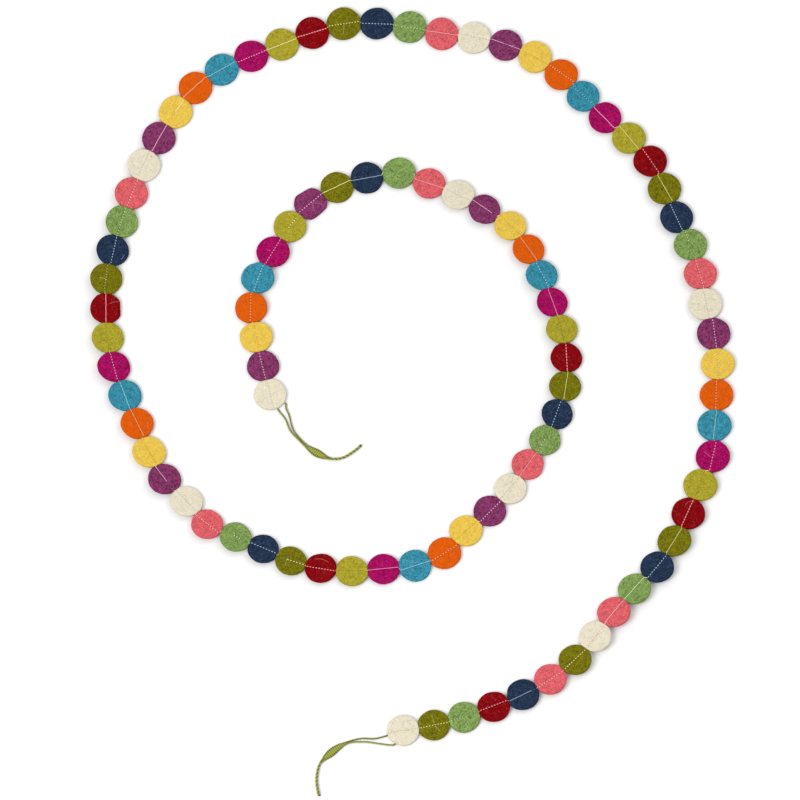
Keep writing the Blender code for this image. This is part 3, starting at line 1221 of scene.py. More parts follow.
# The felts, in colours that match the photograph under this light
FELTS = {
    finish.felt: finish
    for finish in (
        FeltFinish(Felt.CREAM, (0.615, 0.541, 0.419), contrast=0.14, painted_dent_shade=0.7),
        FeltFinish(Felt.PURPLE, (0.144, 0.0230, 0.080), contrast=1.6, thread=0.8),
        FeltFinish(Felt.YELLOW, (0.640, 0.408, 0.058), contrast=0.22, painted_dent_shade=0.6),
        FeltFinish(Felt.ORANGE, (0.540, 0.0785, 0.0014), contrast=0.23, thread=0.82),
        FeltFinish(Felt.TURQUOISE, (0.0265, 0.183, 0.256), contrast=0.67, thread=0.76),
        FeltFinish(Felt.MAGENTA, (0.255, 0.0018, 0.072), contrast=0.9, thread=0.88),
        FeltFinish(Felt.CHARTREUSE, (0.289, 0.252, 0.0182), contrast=0.44, painted_dent_shade=0.6, thread=0.84),
        FeltFinish(Felt.RED, (0.159, 0.0006, 0.0023), contrast=1.05),
        FeltFinish(Felt.OLIVE, (0.120, 0.111, 0.0024), contrast=0.76, thread=0.8),
        FeltFinish(Felt.NAVY, (0.0105, 0.0215, 0.047), contrast=1.08, thread=0.62),
        FeltFinish(Felt.GREEN, (0.145, 0.225, 0.061), contrast=0.80),
        FeltFinish(Felt.PINK, (0.518, 0.085, 0.098), contrast=0.51, thread=0.84),
    )
}


# Modelling helpers


def deselect_all() -> None:
    """Leave nothing selected, so that an operator acts on the new piece alone."""
    bpy.ops.object.select_all(action="DESELECT")


def select_in_edit(
    thing: bpy.types.Object, kind: str, test: Callable[[Vector], bool]
) -> None:
    """Select the faces or edges of the piece in edit mode whose middle passes a test.

    Args:
        thing: The piece, in edit mode.
        kind: FACE or EDGE.
        test: Takes a middle and tells whether it is wanted.
    """
    bpy.ops.mesh.select_mode(type=kind)
    bpy.ops.mesh.select_all(action="DESELECT")
    mesh = bmesh.from_edit_mesh(thing.data)
    if kind == "FACE":
        for face in mesh.faces:
            face.select_set(test(face.calc_center_median()))
    else:
        for edge in mesh.edges:
            middle = (edge.verts[0].co + edge.verts[1].co) / 2
            edge.select_set(test(middle))
    mesh.select_flush_mode()
    bmesh.update_edit_mesh(thing.data)


def add_piece(name: str, mesh: bpy.types.Mesh, material: bpy.types.Material) -> bpy.types.Object:
    """Put a finished mesh in the scene as a piece of the garland.

    Args:
        name: The piece's name.
        mesh: Its mesh, in place.
        material: Its material.

    Returns:
        The piece, which rides on the garland.
    """
    mesh.materials.clear()
    mesh.materials.append(material)
    thing = bpy.data.objects.new(name, mesh)
    bpy.context.scene.collection.objects.link(thing)
    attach(thing, ROOT)
    return thing


def tube_faces(start: int, rings: int, sides: int) -> list[tuple[int, ...]]:
    """Give the faces of a closed tube whose rings of vertices follow each other.

    Args:
        start: The number of the tube's first vertex.
        rings: How many rings it has.
        sides: How many vertices a ring has.

    Returns:
        The faces between the rings, then both ends.
    """
    faces = []
    for i in range(rings - 1):
        for k in range(sides):
            a = start + i * sides + k
            b = start + i * sides + (k + 1) % sides
            faces.append((a, b, b + sides, a + sides))
    end = start + (rings - 1) * sides
    faces.append(tuple(start + k for k in reversed(range(sides))))
    faces.append(tuple(end + k for k in range(sides)))
    return faces


def mapped_mesh(
    name: str,
    vertices: Sequence[Vector],
    faces: Sequence[tuple[int, ...]],
    map_name: str,
    places: Sequence[tuple[float, float]],
) -> bpy.types.Mesh:
    """Make a smooth mesh with a UV map.

    Args:
        name: The mesh's name.
        vertices: Its vertices, in metres.
        faces: Its faces.
        map_name: The map's name.
        places: Each vertex's place on the map.

    Returns:
        The mesh.
    """
    mesh = bpy.data.meshes.new(name)
    mesh.from_pydata(vertices, [], faces)
    mesh.shade_smooth()
    uv = mesh.uv_layers.new(name=map_name)
    corners = [places[loop.vertex_index] for loop in mesh.loops]
    uv.data.foreach_set("uv", [number for corner in corners for number in corner])
    return mesh


def keep_values(mesh: bpy.types.Mesh, name: str, values: Sequence[float]) -> None:
    """Keep a value for each vertex in an attribute of the mesh."""
    layer = mesh.attributes.new(name, "FLOAT", "POINT")
    layer.data.foreach_set("value", values)


@dataclass
class TubeBundle:
    """Gathers many small tubes in one mesh, with a map, and a tone and tinge on each.

    The map's first number is the distance along the tube in millimetres and its second
    goes from 0 to 1 round it.
    """

    sides: int
    vertices: list[Vector] = field(default_factory=list)
    faces: list[tuple[int, ...]] = field(default_factory=list)
    places: list[tuple[float, float]] = field(default_factory=list)
    tones: list[float] = field(default_factory=list)
    tinges: list[Colour] = field(default_factory=list)

    def add(
        self,
        points: Sequence[Vector],
        radius: float,
        tone: float = 0.0,
        tinge: Colour = (1.0, 1.0, 1.0),
    ) -> None:
        """Add one tube.

        Args:
            points: Its middle line, in metres.
            radius: Its radius, in metres.
            tone: How pale it is, kept on all its vertices.
            tinge: Its colour, kept on all its vertices.
        """
        lengths = chord_lengths(points)
        start = len(self.vertices)
        last = len(points) - 1
        for i, point in enumerate(points):
            along = (points[min(i + 1, last)] - points[max(i - 1, 0)]).normalized()
            aside = along.cross(Vector((0, 0, 1)))
            if aside.length < 1e-3:
                aside = Vector((1, 0, 0))
            aside.normalize()
            up = along.cross(aside)
            for k in range(self.sides):
                angle = math.tau * k / self.sides
                offset = aside * math.cos(angle) + up * math.sin(angle)
                self.vertices.append(point + offset * radius)
                self.places.append((lengths[i] / MM, k / self.sides))
                self.tones.append(tone)
                self.tinges.append(tinge)
        self.faces += tube_faces(start, len(points), self.sides)

    def mesh(self, name: str) -> bpy.types.Mesh:
        """Make the mesh of all the tubes.

        Args:
            name: The mesh's name.

        Returns:
            The mesh, with its map, tones and tinges.
        """
        mesh = mapped_mesh(name, self.vertices, self.faces, ThreadFinish.TWIST_MAP, self.places)
        keep_values(mesh, FuzzFinish.TONE, self.tones)
        tinge = mesh.attributes.new(ThreadFinish.TINGE, "FLOAT_COLOR", "POINT")
        tinge.data.foreach_set("color", [n for colour in self.tinges for n in (*colour, 1)])
        mesh.update()
        return mesh


# Felt discs


@dataclass
class FeltDiscs:
    """The felt discs, each cut from one blank, butted, dented where it is sewn, and laid."""

    blank_radius: float = 14.7 * MM
    sides: int = 72
    rim_rounding: float = 0.7 * MM
    rim_segments: int = 3
    ring_widths: tuple[float, ...] = (0.8, 1.2, 1.8, 2.2, 2.4, 2.4)
    stitch_pitch: float = 2.75
    pitch_spread: float = 0.15
    end_margin: float = 0.9
    groove_half_width: float = 1.0
    groove_depth: float = 0.22
    hole_depth: float = 0.42
    edge_level: float = 0.4
    face_level: float = 0.45
    middle_share: float = 0.01
    groove_rows: tuple[float, ...] = (-1.0, -0.55, -0.22, 0.0, 0.22, 0.55, 1.0)
    hole_columns: tuple[float, ...] = (-0.17, 0.0, 0.17, 0.5)
    face_depth: float = 0.5

    def model_blank(self) -> bpy.types.Object:
        """Model the blank: a rounded cylinder with rings of faces on both sides."""
        thickness = DISC_THICKNESS * MM
        middle = Disc.UNDERSIDE * MM + thickness / 2
        inmost = self.blank_radius * self.middle_share
        deselect_all()
        bpy.ops.mesh.primitive_cylinder_add(
            vertices=self.sides,
            radius=self.blank_radius,
            depth=thickness,
            end_fill_type="NGON",
            location=(0, 0, middle),
        )
        blank = bpy.context.object
        blank.name = "felt_blank"
        bpy.ops.object.transform_apply(location=True, rotation=True, scale=True)
        bpy.ops.object.mode_set(mode="EDIT")
        select_in_edit(blank, "EDGE", lambda at: abs(at.z - middle) > thickness * self.edge_level)
        bpy.ops.mesh.bevel(
            offset=self.rim_rounding, segments=self.rim_segments, affect="EDGES"
        )
        for way in (-1, 1):
            for width in self.ring_widths:
                select_in_edit(
                    blank,
                    "FACE",
                    lambda at: (at.z - middle) * way > thickness * self.face_level
                    and at.xy.length < inmost,
                )
                bpy.ops.mesh.inset(thickness=width * MM, depth=0)
        select_in_edit(blank, "FACE", lambda at: at.xy.length < inmost)
        bpy.ops.mesh.poke()
        bpy.ops.object.mode_set(mode="OBJECT")
        return blank

    def mark_holes(self, disc: Disc) -> None:
        """Mark a disc's needle holes, evenly along its sewn line."""
        start, end = disc.seam_ends()
        margin = self.end_margin
        chance = random.Random(SEED + 17 * disc.number)
        pitch = self.stitch_pitch + chance.uniform(-self.pitch_spread, self.pitch_spread)
        disc.holes = even_steps(start + margin, end - margin, pitch)

    def dent(self, disc: Disc, x: float, y: float) -> float:
        """Give how deep the sewing has pressed the felt at a place, in millimetres."""
        across = abs(y - disc.seam) / self.groove_half_width
        if across >= 1:
            return 0.0
        bowl = (1 - across**2) ** 2 * disc.look.value.press
        near_hole = (1 + math.cos(math.tau * disc.stitch_place(x))) / 2
        return bowl * (self.groove_depth + self.hole_depth * near_hole**3)

    def cut_rows(self, mesh: bmesh.types.BMesh, disc: Disc) -> None:
        """Cut the edges that the sewn line's groove and holes need.

        Args:
            mesh: The disc's mesh in its own frame, in millimetres.
            disc: The disc.
        """
        for row in self.groove_rows:
            bmesh.ops.bisect_plane(
                mesh,
                geom=[*mesh.verts, *mesh.edges, *mesh.faces],
                plane_co=(0, disc.seam + row, 0),
                plane_no=(0, 1, 0),
            )
        band = []
        for face in mesh.faces:
            middle = face.calc_center_median()
            in_groove = abs(middle.y - disc.seam) < self.groove_rows[-1]
            if in_groove and middle.z > Disc.FACE - self.face_depth:
                band.append(face)
        step = disc.holes[1] - disc.holes[0]
        for x in sorted(hole + column * step for hole in disc.holes for column in self.hole_columns):
            ahead = [face for face in band if max(corner.co.x for corner in face.verts) > x]
            crossed = [face for face in ahead if min(corner.co.x for corner in face.verts) < x]
            beyond = [face for face in ahead if face not in crossed]
            edges = {edge for face in crossed for edge in face.edges}
            corners = {corner for face in crossed for corner in face.verts}
            cut = bmesh.ops.bisect_plane(
                mesh,
                geom=[*corners, *edges, *crossed],
                plane_co=(x, 0, 0),
                plane_no=(1, 0, 0),
            )
            band = beyond + [piece for piece in cut["geom"] if isinstance(piece, bmesh.types.BMFace)]

    def shape(self, mesh: bmesh.types.BMesh, disc: Disc) -> None:
        """Give a blank the outline, the wave and the dented sewn line of its disc.

        Args:
            mesh: A copy of the blank, in millimetres.
            disc: The disc.
        """
        for vertex in mesh.verts:
            angle = math.atan2(vertex.co.y, vertex.co.x)
            factor = disc.rim_radius(angle) / (self.blank_radius / MM)
            vertex.co.x *= factor
            vertex.co.y *= factor
        self.cut_rows(mesh, disc)
        middle = (Disc.FACE + Disc.UNDERSIDE) / 2
        rim = mesh.verts.layers.float.new(FeltFinish.RIM)
        for vertex in mesh.verts:
            x, y, z = vertex.co
            vertex[rim] = vertex.co.xy.length / disc.rim_radius(math.atan2(y, x))
            side = 1 if z > middle else -1
            vertex.co.z += disc.wave(x, y) * smooth_step(middle, Disc.FACE, z)
            vertex.co.z -= side * self.dent(disc, x, y) * min(1, abs(z - middle))

    def map_stitches(self, mesh: bmesh.types.BMesh, disc: Disc) -> None:
        """Map each corner by its stitch along the sewn line and its distance from it.

        Args:
            mesh: The disc's mesh in its own frame, in millimetres.
            disc: The disc.
        """
        stitches = mesh.loops.layers.uv.new(FeltFinish.STITCH_MAP)
        for face in mesh.faces:
            for corner in face.loops:
                x, y, _ = corner.vert.co
                corner[stitches].uv = (disc.stitch_place(x), y - disc.seam)

    def lay(self, disc: Disc, blank: bpy.types.Mesh, material: bpy.types.Material) -> None:
        """Make one disc and set it down on the surface.

        Args:
            disc: The disc, whose placing is set here.
            blank: The blank's mesh.
            material: The disc's felt.
        """
        mesh = bmesh.new()
        mesh.from_mesh(blank)
        bmesh.ops.scale(mesh, vec=(1 / MM,) * 3, verts=mesh.verts)
        self.mark_holes(disc)
        self.shape(mesh, disc)
        self.map_stitches(mesh, disc)
        turn = (
            Matrix.Rotation(disc.heading, 4, "Z")
            @ Matrix.Rotation(disc.roll, 4, "X")
            @ Matrix.Rotation(disc.pitch, 4, "Y")
        )
        lowest = min((turn @ vertex.co).z for vertex in mesh.verts)
        place = (disc.centre - Vector((0, 0, lowest))) * MM
        disc.placing = Matrix.Translation(place) @ turn
        bmesh.ops.scale(mesh, vec=(MM,) * 3, verts=mesh.verts)
        bmesh.ops.transform(mesh, matrix=disc.placing, verts=mesh.verts)
        data = bpy.data.meshes.new(disc.name)
        mesh.to_mesh(data)
        mesh.free()
        data.shade_smooth()

        piece = add_piece(disc.name, data, material)
        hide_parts(disc.node)
        across = 2 * disc.radius * MM
        math.pi * across**2 / 4

    def build(self, discs: Iterable[Disc]) -> None:
        """Make all the discs.

        Args:
            discs: The discs.
        """
        materials = {felt: finish.material() for felt, finish in FELTS.items()}
        blank = self.model_blank()
        for disc in discs:
            self.lay(disc, blank.data, materials[disc.felt])
        bpy.data.objects.remove(blank, do_unlink=True)
        log.info("felt discs: %d", DISC_COUNT)


# Sewing thread


@dataclass
class SewingThread:
    """The white thread that sews the discs together, one small tube for each stitch."""

    cloth: FeltDiscs
    sides: int = 5
    link_radius: float = 0.22
    link_rise: float = 0.1
    unevenness: float = 0.05
    link_narrowing: float = 0.8
    top_steps: int = 9
    underside_radius: float = 0.2
    underside_level: float = 0.12
    underside_steps: int = 3

    def stitch(
        self,
        holes: tuple[Vector, Vector],
        up: Vector,
        look: StitchLook,
        tinge: Colour,
        bundle: TubeBundle,
    ) -> None:
        """Add one stitch, which rises from a hole, lies on the felt and sinks in the next.

        Args:
            holes: Both holes' places at the bottom of the groove, in millimetres.
            up: The direction away from the felt.
            look: How it shows.
            tinge: Its colour.
            bundle: The bundle that takes the tube.
        """
        start, end = holes
        points = []
        steps = self.top_steps if up.z > 0 else self.underside_steps
        for t in even_steps(0, 1, 1 / steps):
            arch = math.sin(math.pi * t) ** look.narrowing
            height = arch * (look.crest + look.sink) - look.sink
            points.append((start.lerp(end, t) + up * height) * MM)
        bundle.add(points, look.radius * MM, tinge=tinge)

    def holes_of(self, disc: Disc, face: float, chance: random.Random) -> list[Vector]:
        """Give where a disc's stitches go in, at the bottom of its groove.

        Args:
            disc: The disc.
            face: The height of the side in the disc's own frame, in millimetres.
            chance: Where the stitches' unevenness comes from.

        Returns:
            The places, in millimetres.
        """
        holes = []
        for x in disc.holes:
            y = disc.seam + chance.uniform(-disc.look.value.wander, disc.look.value.wander)
            level = face + self.underside_level
            if face > 0:
                groove = self.cloth.groove_depth * disc.look.value.press
                level = face + disc.wave(x, y) - groove
            holes.append(disc.in_place(Vector((x, y, level))) / MM)
        return holes

    def sew_side(self, discs: Sequence[Disc], face: float, bundle: TubeBundle) -> None:
        """Sew along one side of all the discs, and across the joints between them.

        Args:
            discs: The discs, in their order.
            face: The height of that side in a disc's own frame, in millimetres.
            bundle: The bundle that takes the tubes.
        """
        way = 1 if face > 0 else -1
        finish = ThreadFinish()
        last_hole = None
        for disc in discs:
            chance = random.Random(SEED + 31 * disc.number + way)
            up = (disc.placing.to_3x3() @ Vector((0, 0, way))).normalized()
            tinge = finish.tinge(FELTS[disc.felt])
            look = disc.look.value
            if way < 0:
                look = replace(look, radius=self.underside_radius, crest=0.0)
            holes = self.holes_of(disc, face, chance)
            shown_from, shown_to = SHOWN_STRETCHES.get(disc.number, (0.0, 1.0))
            if last_hole is not None:
                rise = self.link_rise * way
                link = StitchLook(self.link_radius, look.sink, rise, self.link_narrowing)
                self.stitch((last_hole, holes[0]), up, link, tinge, bundle)
            for i, pair in enumerate(zip(holes, holes[1:])):
                uneven = chance.uniform(-self.unevenness, self.unevenness)
                middle = (i + 0.5) / (len(holes) - 1)
                own = look if shown_from < middle < shown_to else Look.BURIED.value
                loose = replace(own, crest=own.crest + uneven)
                self.stitch(pair, up, loose, tinge, bundle)
            last_hole = holes[-1]

    def build(self, discs: Sequence[Disc]) -> None:
        """Make the thread as one piece.

        Args:
            discs: The discs, in their order.
        """
        bundle = TubeBundle(self.sides)
        self.sew_side(discs, Disc.FACE, bundle)
        self.sew_side(discs, Disc.UNDERSIDE, bundle)
        name = "sewing_thread"
        piece = add_piece(name, bundle.mesh(name), ThreadFinish().material())
        log.info("%s: %d faces", name, len(piece.data.polygons))


# Loose fibres


@dataclass
class FeltFuzz:
    """The loose fibres on the discs' rims and faces, one joined piece for each colour."""

    rim_fibres: int = 140
    face_fibres: int = 60
    rim_length: tuple[float, float] = (0.35, 1.15)
    rim_heights: tuple[float, float] = (Disc.UNDERSIDE + 0.5, Disc.FACE - 0.2)
    rim_root: float = 0.12
    rim_lean: float = 1.3
    rim_climb: tuple[float, float] = (-0.15, 0.45)
    rim_bend: float = 0.9
    rim_droop: tuple[float, float] = (-0.5, 0.3)
    face_length: tuple[float, float] = (1.2, 4.0)
    face_spread: float = 0.8
    face_curl: float = 0.9
    face_lift: float = 0.01
    face_rise: float = 0.09
    face_margin: float = 0.96
    radius: float = 0.026
    face_radius: float = 0.06
    stray_radius: float = 0.21
    stray_rise: float = 0.12
    tones: tuple[float, float] = (0.25, 0.9)
    sides: int = 3
    rim_steps: int = 2
    face_steps: int = 4
    stray_steps: int = 8

    def rim_fibre(self, disc: Disc, chance: random.Random, bundle: TubeBundle) -> None:
        """Add one fibre that stands out of a disc's rim."""
        angle = chance.uniform(0, math.tau)
        if disc.is_butted(angle):
            return
        height = chance.uniform(*self.rim_heights)
        reach = disc.rim_radius(angle) - self.rim_root
        outwards = Vector((math.cos(angle), math.sin(angle), 0))
        round_rim = Vector((-math.sin(angle), math.cos(angle), 0))
        lean = chance.uniform(-self.rim_lean, self.rim_lean)
        way = outwards * math.cos(lean) + round_rim * math.sin(lean)
        way.z = chance.uniform(*self.rim_climb)
        bend = round_rim * chance.uniform(-self.rim_bend, self.rim_bend)
        bend.z = chance.uniform(*self.rim_droop)
        length = chance.uniform(*self.rim_length)
        start = outwards * reach + Vector((0, 0, height))
        points = []
        for i in range(self.rim_steps + 1):
            t = i / self.rim_steps
            point = disc.in_place(start + way * (length * t) + bend * (length * t * t * 0.5))
            point.z = max(point.z, self.radius * MM)
            points.append(point)
        bundle.add(points, self.radius * MM, tone=chance.uniform(*self.tones))

    def face_fibre(self, disc: Disc, chance: random.Random, bundle: TubeBundle) -> None:
        """Add one fibre that lies curled on a disc's face."""
        angle = chance.uniform(0, math.tau)
        out = disc.rim_radius(angle) * math.sqrt(chance.uniform(0, self.face_spread))
        x, y = out * math.cos(angle), out * math.sin(angle)
        heading = chance.uniform(0, math.tau)
        curl = chance.uniform(-self.face_curl, self.face_curl)
        length = chance.uniform(*self.face_length)
        points = []
        for i in range(self.face_steps + 1):
            t = i / self.face_steps
            lift = self.face_lift + self.face_rise * math.sin(math.pi * t)
            level = Disc.FACE + disc.wave(x, y) + lift
            points.append(disc.in_place(Vector((x, y, level))))
            step = length / self.face_steps
            x += step * math.cos(heading + curl * t * 2)
            y += step * math.sin(heading + curl * t * 2)
            if math.hypot(x, y) > disc.radius * self.face_margin:
                break
        if len(points) > 2:
            bundle.add(points, self.face_radius * MM, tone=chance.uniform(*self.tones))

    def stray_fibre(self, stray: StrayFibre, disc: Disc, bundle: TubeBundle) -> None:
        """Add one long fibre that lies across a disc's face.

        Args:
            stray: The fibre.
            disc: The disc that it lies on.
            bundle: The bundle that takes the tube.
        """
        turn = Matrix.Rotation(-disc.heading, 2)
        start, end = turn @ Vector(stray.start), turn @ Vector(stray.end)
        along = (end - start).normalized()
        left = Vector((-along.y, along.x))
        points = []
        for i in range(self.stray_steps + 1):
            t = i / self.stray_steps
            bow = math.sin(math.pi * t)
            x, y = start.lerp(end, t) + left * (stray.bend * bow)
            level = Disc.FACE + disc.wave(x, y) + self.stray_rise * (bow * 2 - 1)
            points.append(disc.in_place(Vector((x, y, level))))
        bundle.add(points, self.stray_radius * MM, tone=stray.tone)

    def build(self, discs: Sequence[Disc]) -> None:
        """Make the fibres of every colour.

        Args:
            discs: The discs.
        """
        for felt, finish in FELTS.items():
            bundle = TubeBundle(self.sides)
            for disc in discs:
                if disc.felt is not felt:
                    continue
                chance = random.Random(SEED * disc.number)
                for _ in range(self.rim_fibres):
                    self.rim_fibre(disc, chance, bundle)
                for _ in range(self.face_fibres):
                    self.face_fibre(disc, chance, bundle)
                for stray in STRAY_FIBRES:
                    if stray.disc == disc.number:
                        self.stray_fibre(stray, disc, bundle)
            name = f"fibres_{felt.value}"
            material = FuzzFinish(felt, finish.colour).material()
            piece = add_piece(name, bundle.mesh(name), material)
            log.info("%s: %d faces", name, len(piece.data.polygons))


# Ribbon ties


@dataclass
class TailPoint:
    """A place on a ribbon tail: its middle, the way it faces, and its section.

    Outwards points from the stem's middle to the tail's outer edge. Wide is the tail's half
    width that way and thick its half thickness across it, in millimetres.
    """

    place: Vector
    outwards: Vector
    wide: float
    thick: float
    opened: float


@dataclass
class RibbonTails:
    """The two ribbon tails of a tie: rolled up, opened in a leaf, then twisted."""

    tie: Tie
    section_sides: int = 12
    tip_length: float = 2.2
    rolled_wide: float = 0.78
    rolled_thick: float = 0.58
    ply_wide: float = 0.55
    ply_thick: float = 0.62
    ply_end_growth: float = 1.35
    leaf_thick: float = 0.16
    leaf_from: float = 1.0
    leaf_to: float = 1.35
    leaf_overlap: float = 1.02
    look_ahead: float = 0.1

    def stem(self, side: int) -> list[TailPoint]:
        """Give one tail's places along the stem, flat and then twisted."""
        middles = [Vector((row.x, row.y, 0)) for row in self.tie.stem]
        spreads = [row.spread for row in self.tie.stem]
        knots = chord_lengths(middles)
        twist_start = knots[self.tie.twist_row]
        flat_steps = even_steps(0, twist_start, STRAND_STEP)
        twist_steps = even_steps(twist_start, knots[-1], PLY_TURN_LENGTH / STEPS_PER_TURN)
        points = []
        for at in flat_steps + twist_steps[1:]:
            middle = smooth_point(knots, middles, at)
            ahead = smooth_point(knots, middles, at + self.look_ahead) - middle
            aside = Vector((-ahead.y, ahead.x, 0)).normalized()
            spread = max(PLY_OFFSET, smooth_value(knots, spreads, at))
            twisted = max(0.0, at - twist_start)
            phase = math.tau * twisted / PLY_TURN_LENGTH
            ramp = min(1.0, max(0.0, (at - twist_start + TWIST_RAMP) / TWIST_RAMP))
            radius = STRAND_RADIUS + (PLY_RADIUS - STRAND_RADIUS) * ramp
            outwards = aside * side * math.cos(phase)
            outwards.z = side * math.sin(phase)
            place = middle + outwards * spread
            place.z += radius + FLOOR_CLEARANCE + PLY_OFFSET * ramp
            opened = smooth_step(self.leaf_from, self.leaf_to, spread) * (1 - ramp)
            growth = 1 + (self.ply_end_growth - 1) * twisted / (knots[-1] - twist_start)
            wide = self.rolled_wide + (self.ply_wide * growth - self.rolled_wide) * ramp
            thick = self.rolled_thick + (self.ply_thick * growth - self.rolled_thick) * ramp
            points.append(
                TailPoint(
                    place=place,
                    outwards=outwards,
                    wide=wide + (spread * self.leaf_overlap - wide) * opened,
                    thick=thick + (self.leaf_thick - thick) * opened,
                    opened=opened,
                )
            )
        return points

    def strand(self, strand: Strand, disc: Disc, stem_start: Sequence[Vector]) -> list[TailPoint]:
        """Give one tail's places from the rim of its disc to the stem.

        Args:
            strand: The tail's route there.
            disc: The end disc.
            stem_start: The tail's first two places on the stem.

        Returns:
            The tail's points, without those of the stem.
        """
        angle = math.radians(strand.leaves_at)
        out = Vector((math.cos(angle), math.sin(angle), 0))
        rim = disc.plain_radius(angle - disc.heading)
        route = [disc.centre + out * (rim + CAD_GAP)]
        route.append(disc.centre + out * (rim + CAD_GAP + STRAND_STUB))
        route += [Vector((x, y, 0)) for x, y in strand.points]
        for place in route:
            place.z = STRAND_RADIUS + FLOOR_CLEARANCE
        route += stem_start
        knots = chord_lengths(route)
        points = []
        for at in even_steps(0, knots[-len(stem_start)], STRAND_STEP)[:-1]:
            place = smooth_point(knots, route, at)
            ahead = smooth_point(knots, route, at + self.look_ahead) - place
            outwards = Vector((-ahead.y, ahead.x, 0)).normalized() * strand.side
            points.append(
                TailPoint(
                    place=place,
                    outwards=outwards,
                    wide=self.rolled_wide,
                    thick=self.rolled_thick,
                    opened=0.0,
                )
            )
        return points

    def sweep(self, name: str, points: Sequence[TailPoint]) -> bpy.types.Mesh:
        """Make a tail's mesh from its points.

        Args:
            name: The mesh's name.
            points: The tail's points, in order.

        Returns:
            The closed mesh, with its weave map and its opened and tip values.
        """
        lengths = chord_lengths([point.place for point in points])
        last = len(points) - 1
        tip_start = lengths[-1] - self.tip_length
        vertices, places, opened, tips = [], [], [], []
        for i, point in enumerate(points):
            ahead = points[min(i + 1, last)].place - points[max(i - 1, 0)].place
            outwards = point.outwards - ahead * (point.outwards.dot(ahead) / ahead.length_squared)
            outwards.normalize()
            up = ahead.normalized().cross(outwards)
            for k in range(self.section_sides):
                angle = math.tau * k / self.section_sides
                across = math.cos(angle)
                offset = outwards * (point.wide * across) + up * (point.thick * math.sin(angle))
                vertices.append((point.place + offset) * MM)
                places.append((lengths[i], across))
                opened.append(point.opened)
                tips.append(smooth_step(tip_start, lengths[-1], lengths[i]))
        faces = tube_faces(0, len(points), self.section_sides)
        mesh = mapped_mesh(name, vertices, faces, RibbonFinish.WEAVE_MAP, places)
        keep_values(mesh, RibbonFinish.OPENED, opened)
        keep_values(mesh, RibbonFinish.TIP, tips)
        return mesh

    def build(self, disc: Disc, material: bpy.types.Material) -> None:
        """Make both tails.

        Args:
            disc: The end disc that they are sewn under.
            material: The ribbon's material.
        """
        for which, strand in self.tie.strands.items():
            stem = self.stem(strand.side)
            start = [point.place for point in stem[:2]]
            points = self.strand(strand, disc, start) + stem
            cad_name = f"{self.tie.name}_{which}"
            name = f"ribbon_{cad_name}"
            piece = add_piece(name, self.sweep(name, points), material)
            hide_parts(cad_name)
            path = [point.place * MM for point in points]
            chord_lengths(path)[-1]
            log.info("%s: %.1f mm", name, chord_lengths(path)[-1] / MM)


# The studio


@dataclass(frozen=True)
class Lamp:
    """A soft square light: where it stands, how wide it is and how strong."""

    name: str
    place: tuple[float, float, float]
    width: float
    power: float


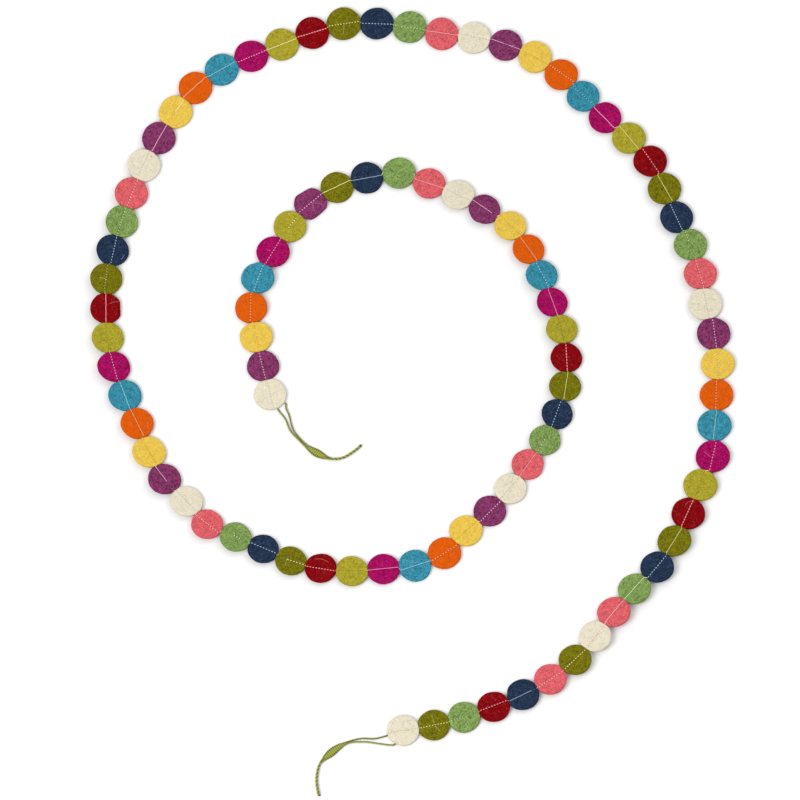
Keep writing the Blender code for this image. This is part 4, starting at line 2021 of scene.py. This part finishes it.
@dataclass
class Studio:
    """A pale floor, soft light, and the photograph's view."""

    view_width: float = 0.736
    target: tuple[float, float, float] = (-0.0109, -0.0238, 0.0)
    elevation: float = 69.2
    lens: float = 1500.0
    sensor: float = 36.0
    clip_shares: tuple[float, float] = (0.01, 10.0)
    floor_side: float = 12.0
    floor_drop: float = 0.2 * MM
    floor_colour: Colour = (0.74, 0.74, 0.74)
    floor_mottle: float = 400.0
    floor_shade: float = 0.995
    sky_strength: float = 0.96
    lamps: tuple[Lamp, ...] = (
        Lamp("key_light", (-2.2, -1.8, 2.8), 2.0, 100.0),
        Lamp("side_light", (1.9, 1.6, 2.6), 2.0, 18.0),
    )

    def floor_material(self) -> bpy.types.Material:
        """Make the floor's pale matt material."""
        desk = NodeDesk("pale_floor")
        mottle = desk.cloud(desk.object_mm(), self.floor_mottle)
        darker = shaded(self.floor_colour, self.floor_shade)
        base = desk.blend(mottle, darker, self.floor_colour)
        return desk.finish({"Base Color": base, "Roughness": 0.9, "Specular IOR Level": 0.1})

    def lay_floor(self) -> None:
        """Lay the floor just under the garland."""
        deselect_all()
        bpy.ops.mesh.primitive_plane_add(size=self.floor_side, location=(0, 0, -self.floor_drop))
        floor = bpy.context.object
        floor.name = "studio_floor"
        bpy.ops.object.transform_apply(location=True, rotation=True, scale=True)
        floor.data.materials.append(self.floor_material())

    def light_sky(self) -> None:
        """Fill the room with even light."""
        world = bpy.data.worlds.new("studio")
        world.use_nodes = True
        sky = world.node_tree.nodes["Background"]
        sky.inputs["Color"].default_value = (1, 1, 1, 1)
        sky.inputs["Strength"].default_value = self.sky_strength
        bpy.context.scene.world = world

    def hang_lamps(self) -> None:
        """Hang the lamps, each turned to the garland's middle."""
        for lamp in self.lamps:
            light = bpy.data.lights.new(lamp.name, "AREA")
            light.size = lamp.width
            light.energy = lamp.power
            thing = bpy.data.objects.new(lamp.name, light)
            thing.location = lamp.place
            aim = Vector(self.target) - Vector(lamp.place)
            thing.rotation_euler = aim.to_track_quat("-Z", "Y").to_euler()
            bpy.context.scene.collection.objects.link(thing)

    def set_camera(self) -> None:
        """Set the camera at the photograph's angle, with a long lens."""
        data = bpy.data.cameras.new("camera")
        data.lens = self.lens
        data.sensor_width = self.sensor
        distance = self.view_width * self.lens / self.sensor
        rise = math.radians(self.elevation)
        back = Vector((0, -math.cos(rise), math.sin(rise)))
        camera = bpy.data.objects.new("camera", data)
        camera.location = Vector(self.target) + back * distance
        camera.rotation_euler = (-back).to_track_quat("-Z", "Y").to_euler()
        data.clip_start = distance * self.clip_shares[0]
        data.clip_end = distance * self.clip_shares[1]
        bpy.context.scene.collection.objects.link(camera)
        bpy.context.scene.camera = camera

    def build(self) -> None:
        """Set up the studio."""
        bpy.context.scene.view_settings.view_transform = "Standard"
        self.lay_floor()
        self.light_sky()
        self.hang_lamps()
        self.set_camera()


def main() -> None:
    """Dress the garland and set up the studio."""
    logging.basicConfig(level=logging.INFO, format="%(name)s: %(message)s")
    Studio().build()
    discs = Layout().discs()
    cloth = FeltDiscs()
    cloth.build(discs)
    ribbon = RibbonFinish().material()
    for tie in TIES:
        RibbonTails(tie).build(discs[tie.disc - 1], ribbon)
    SewingThread(cloth).build(discs)
    FeltFuzz().build(discs)


if __name__ == "__main__":
    main()
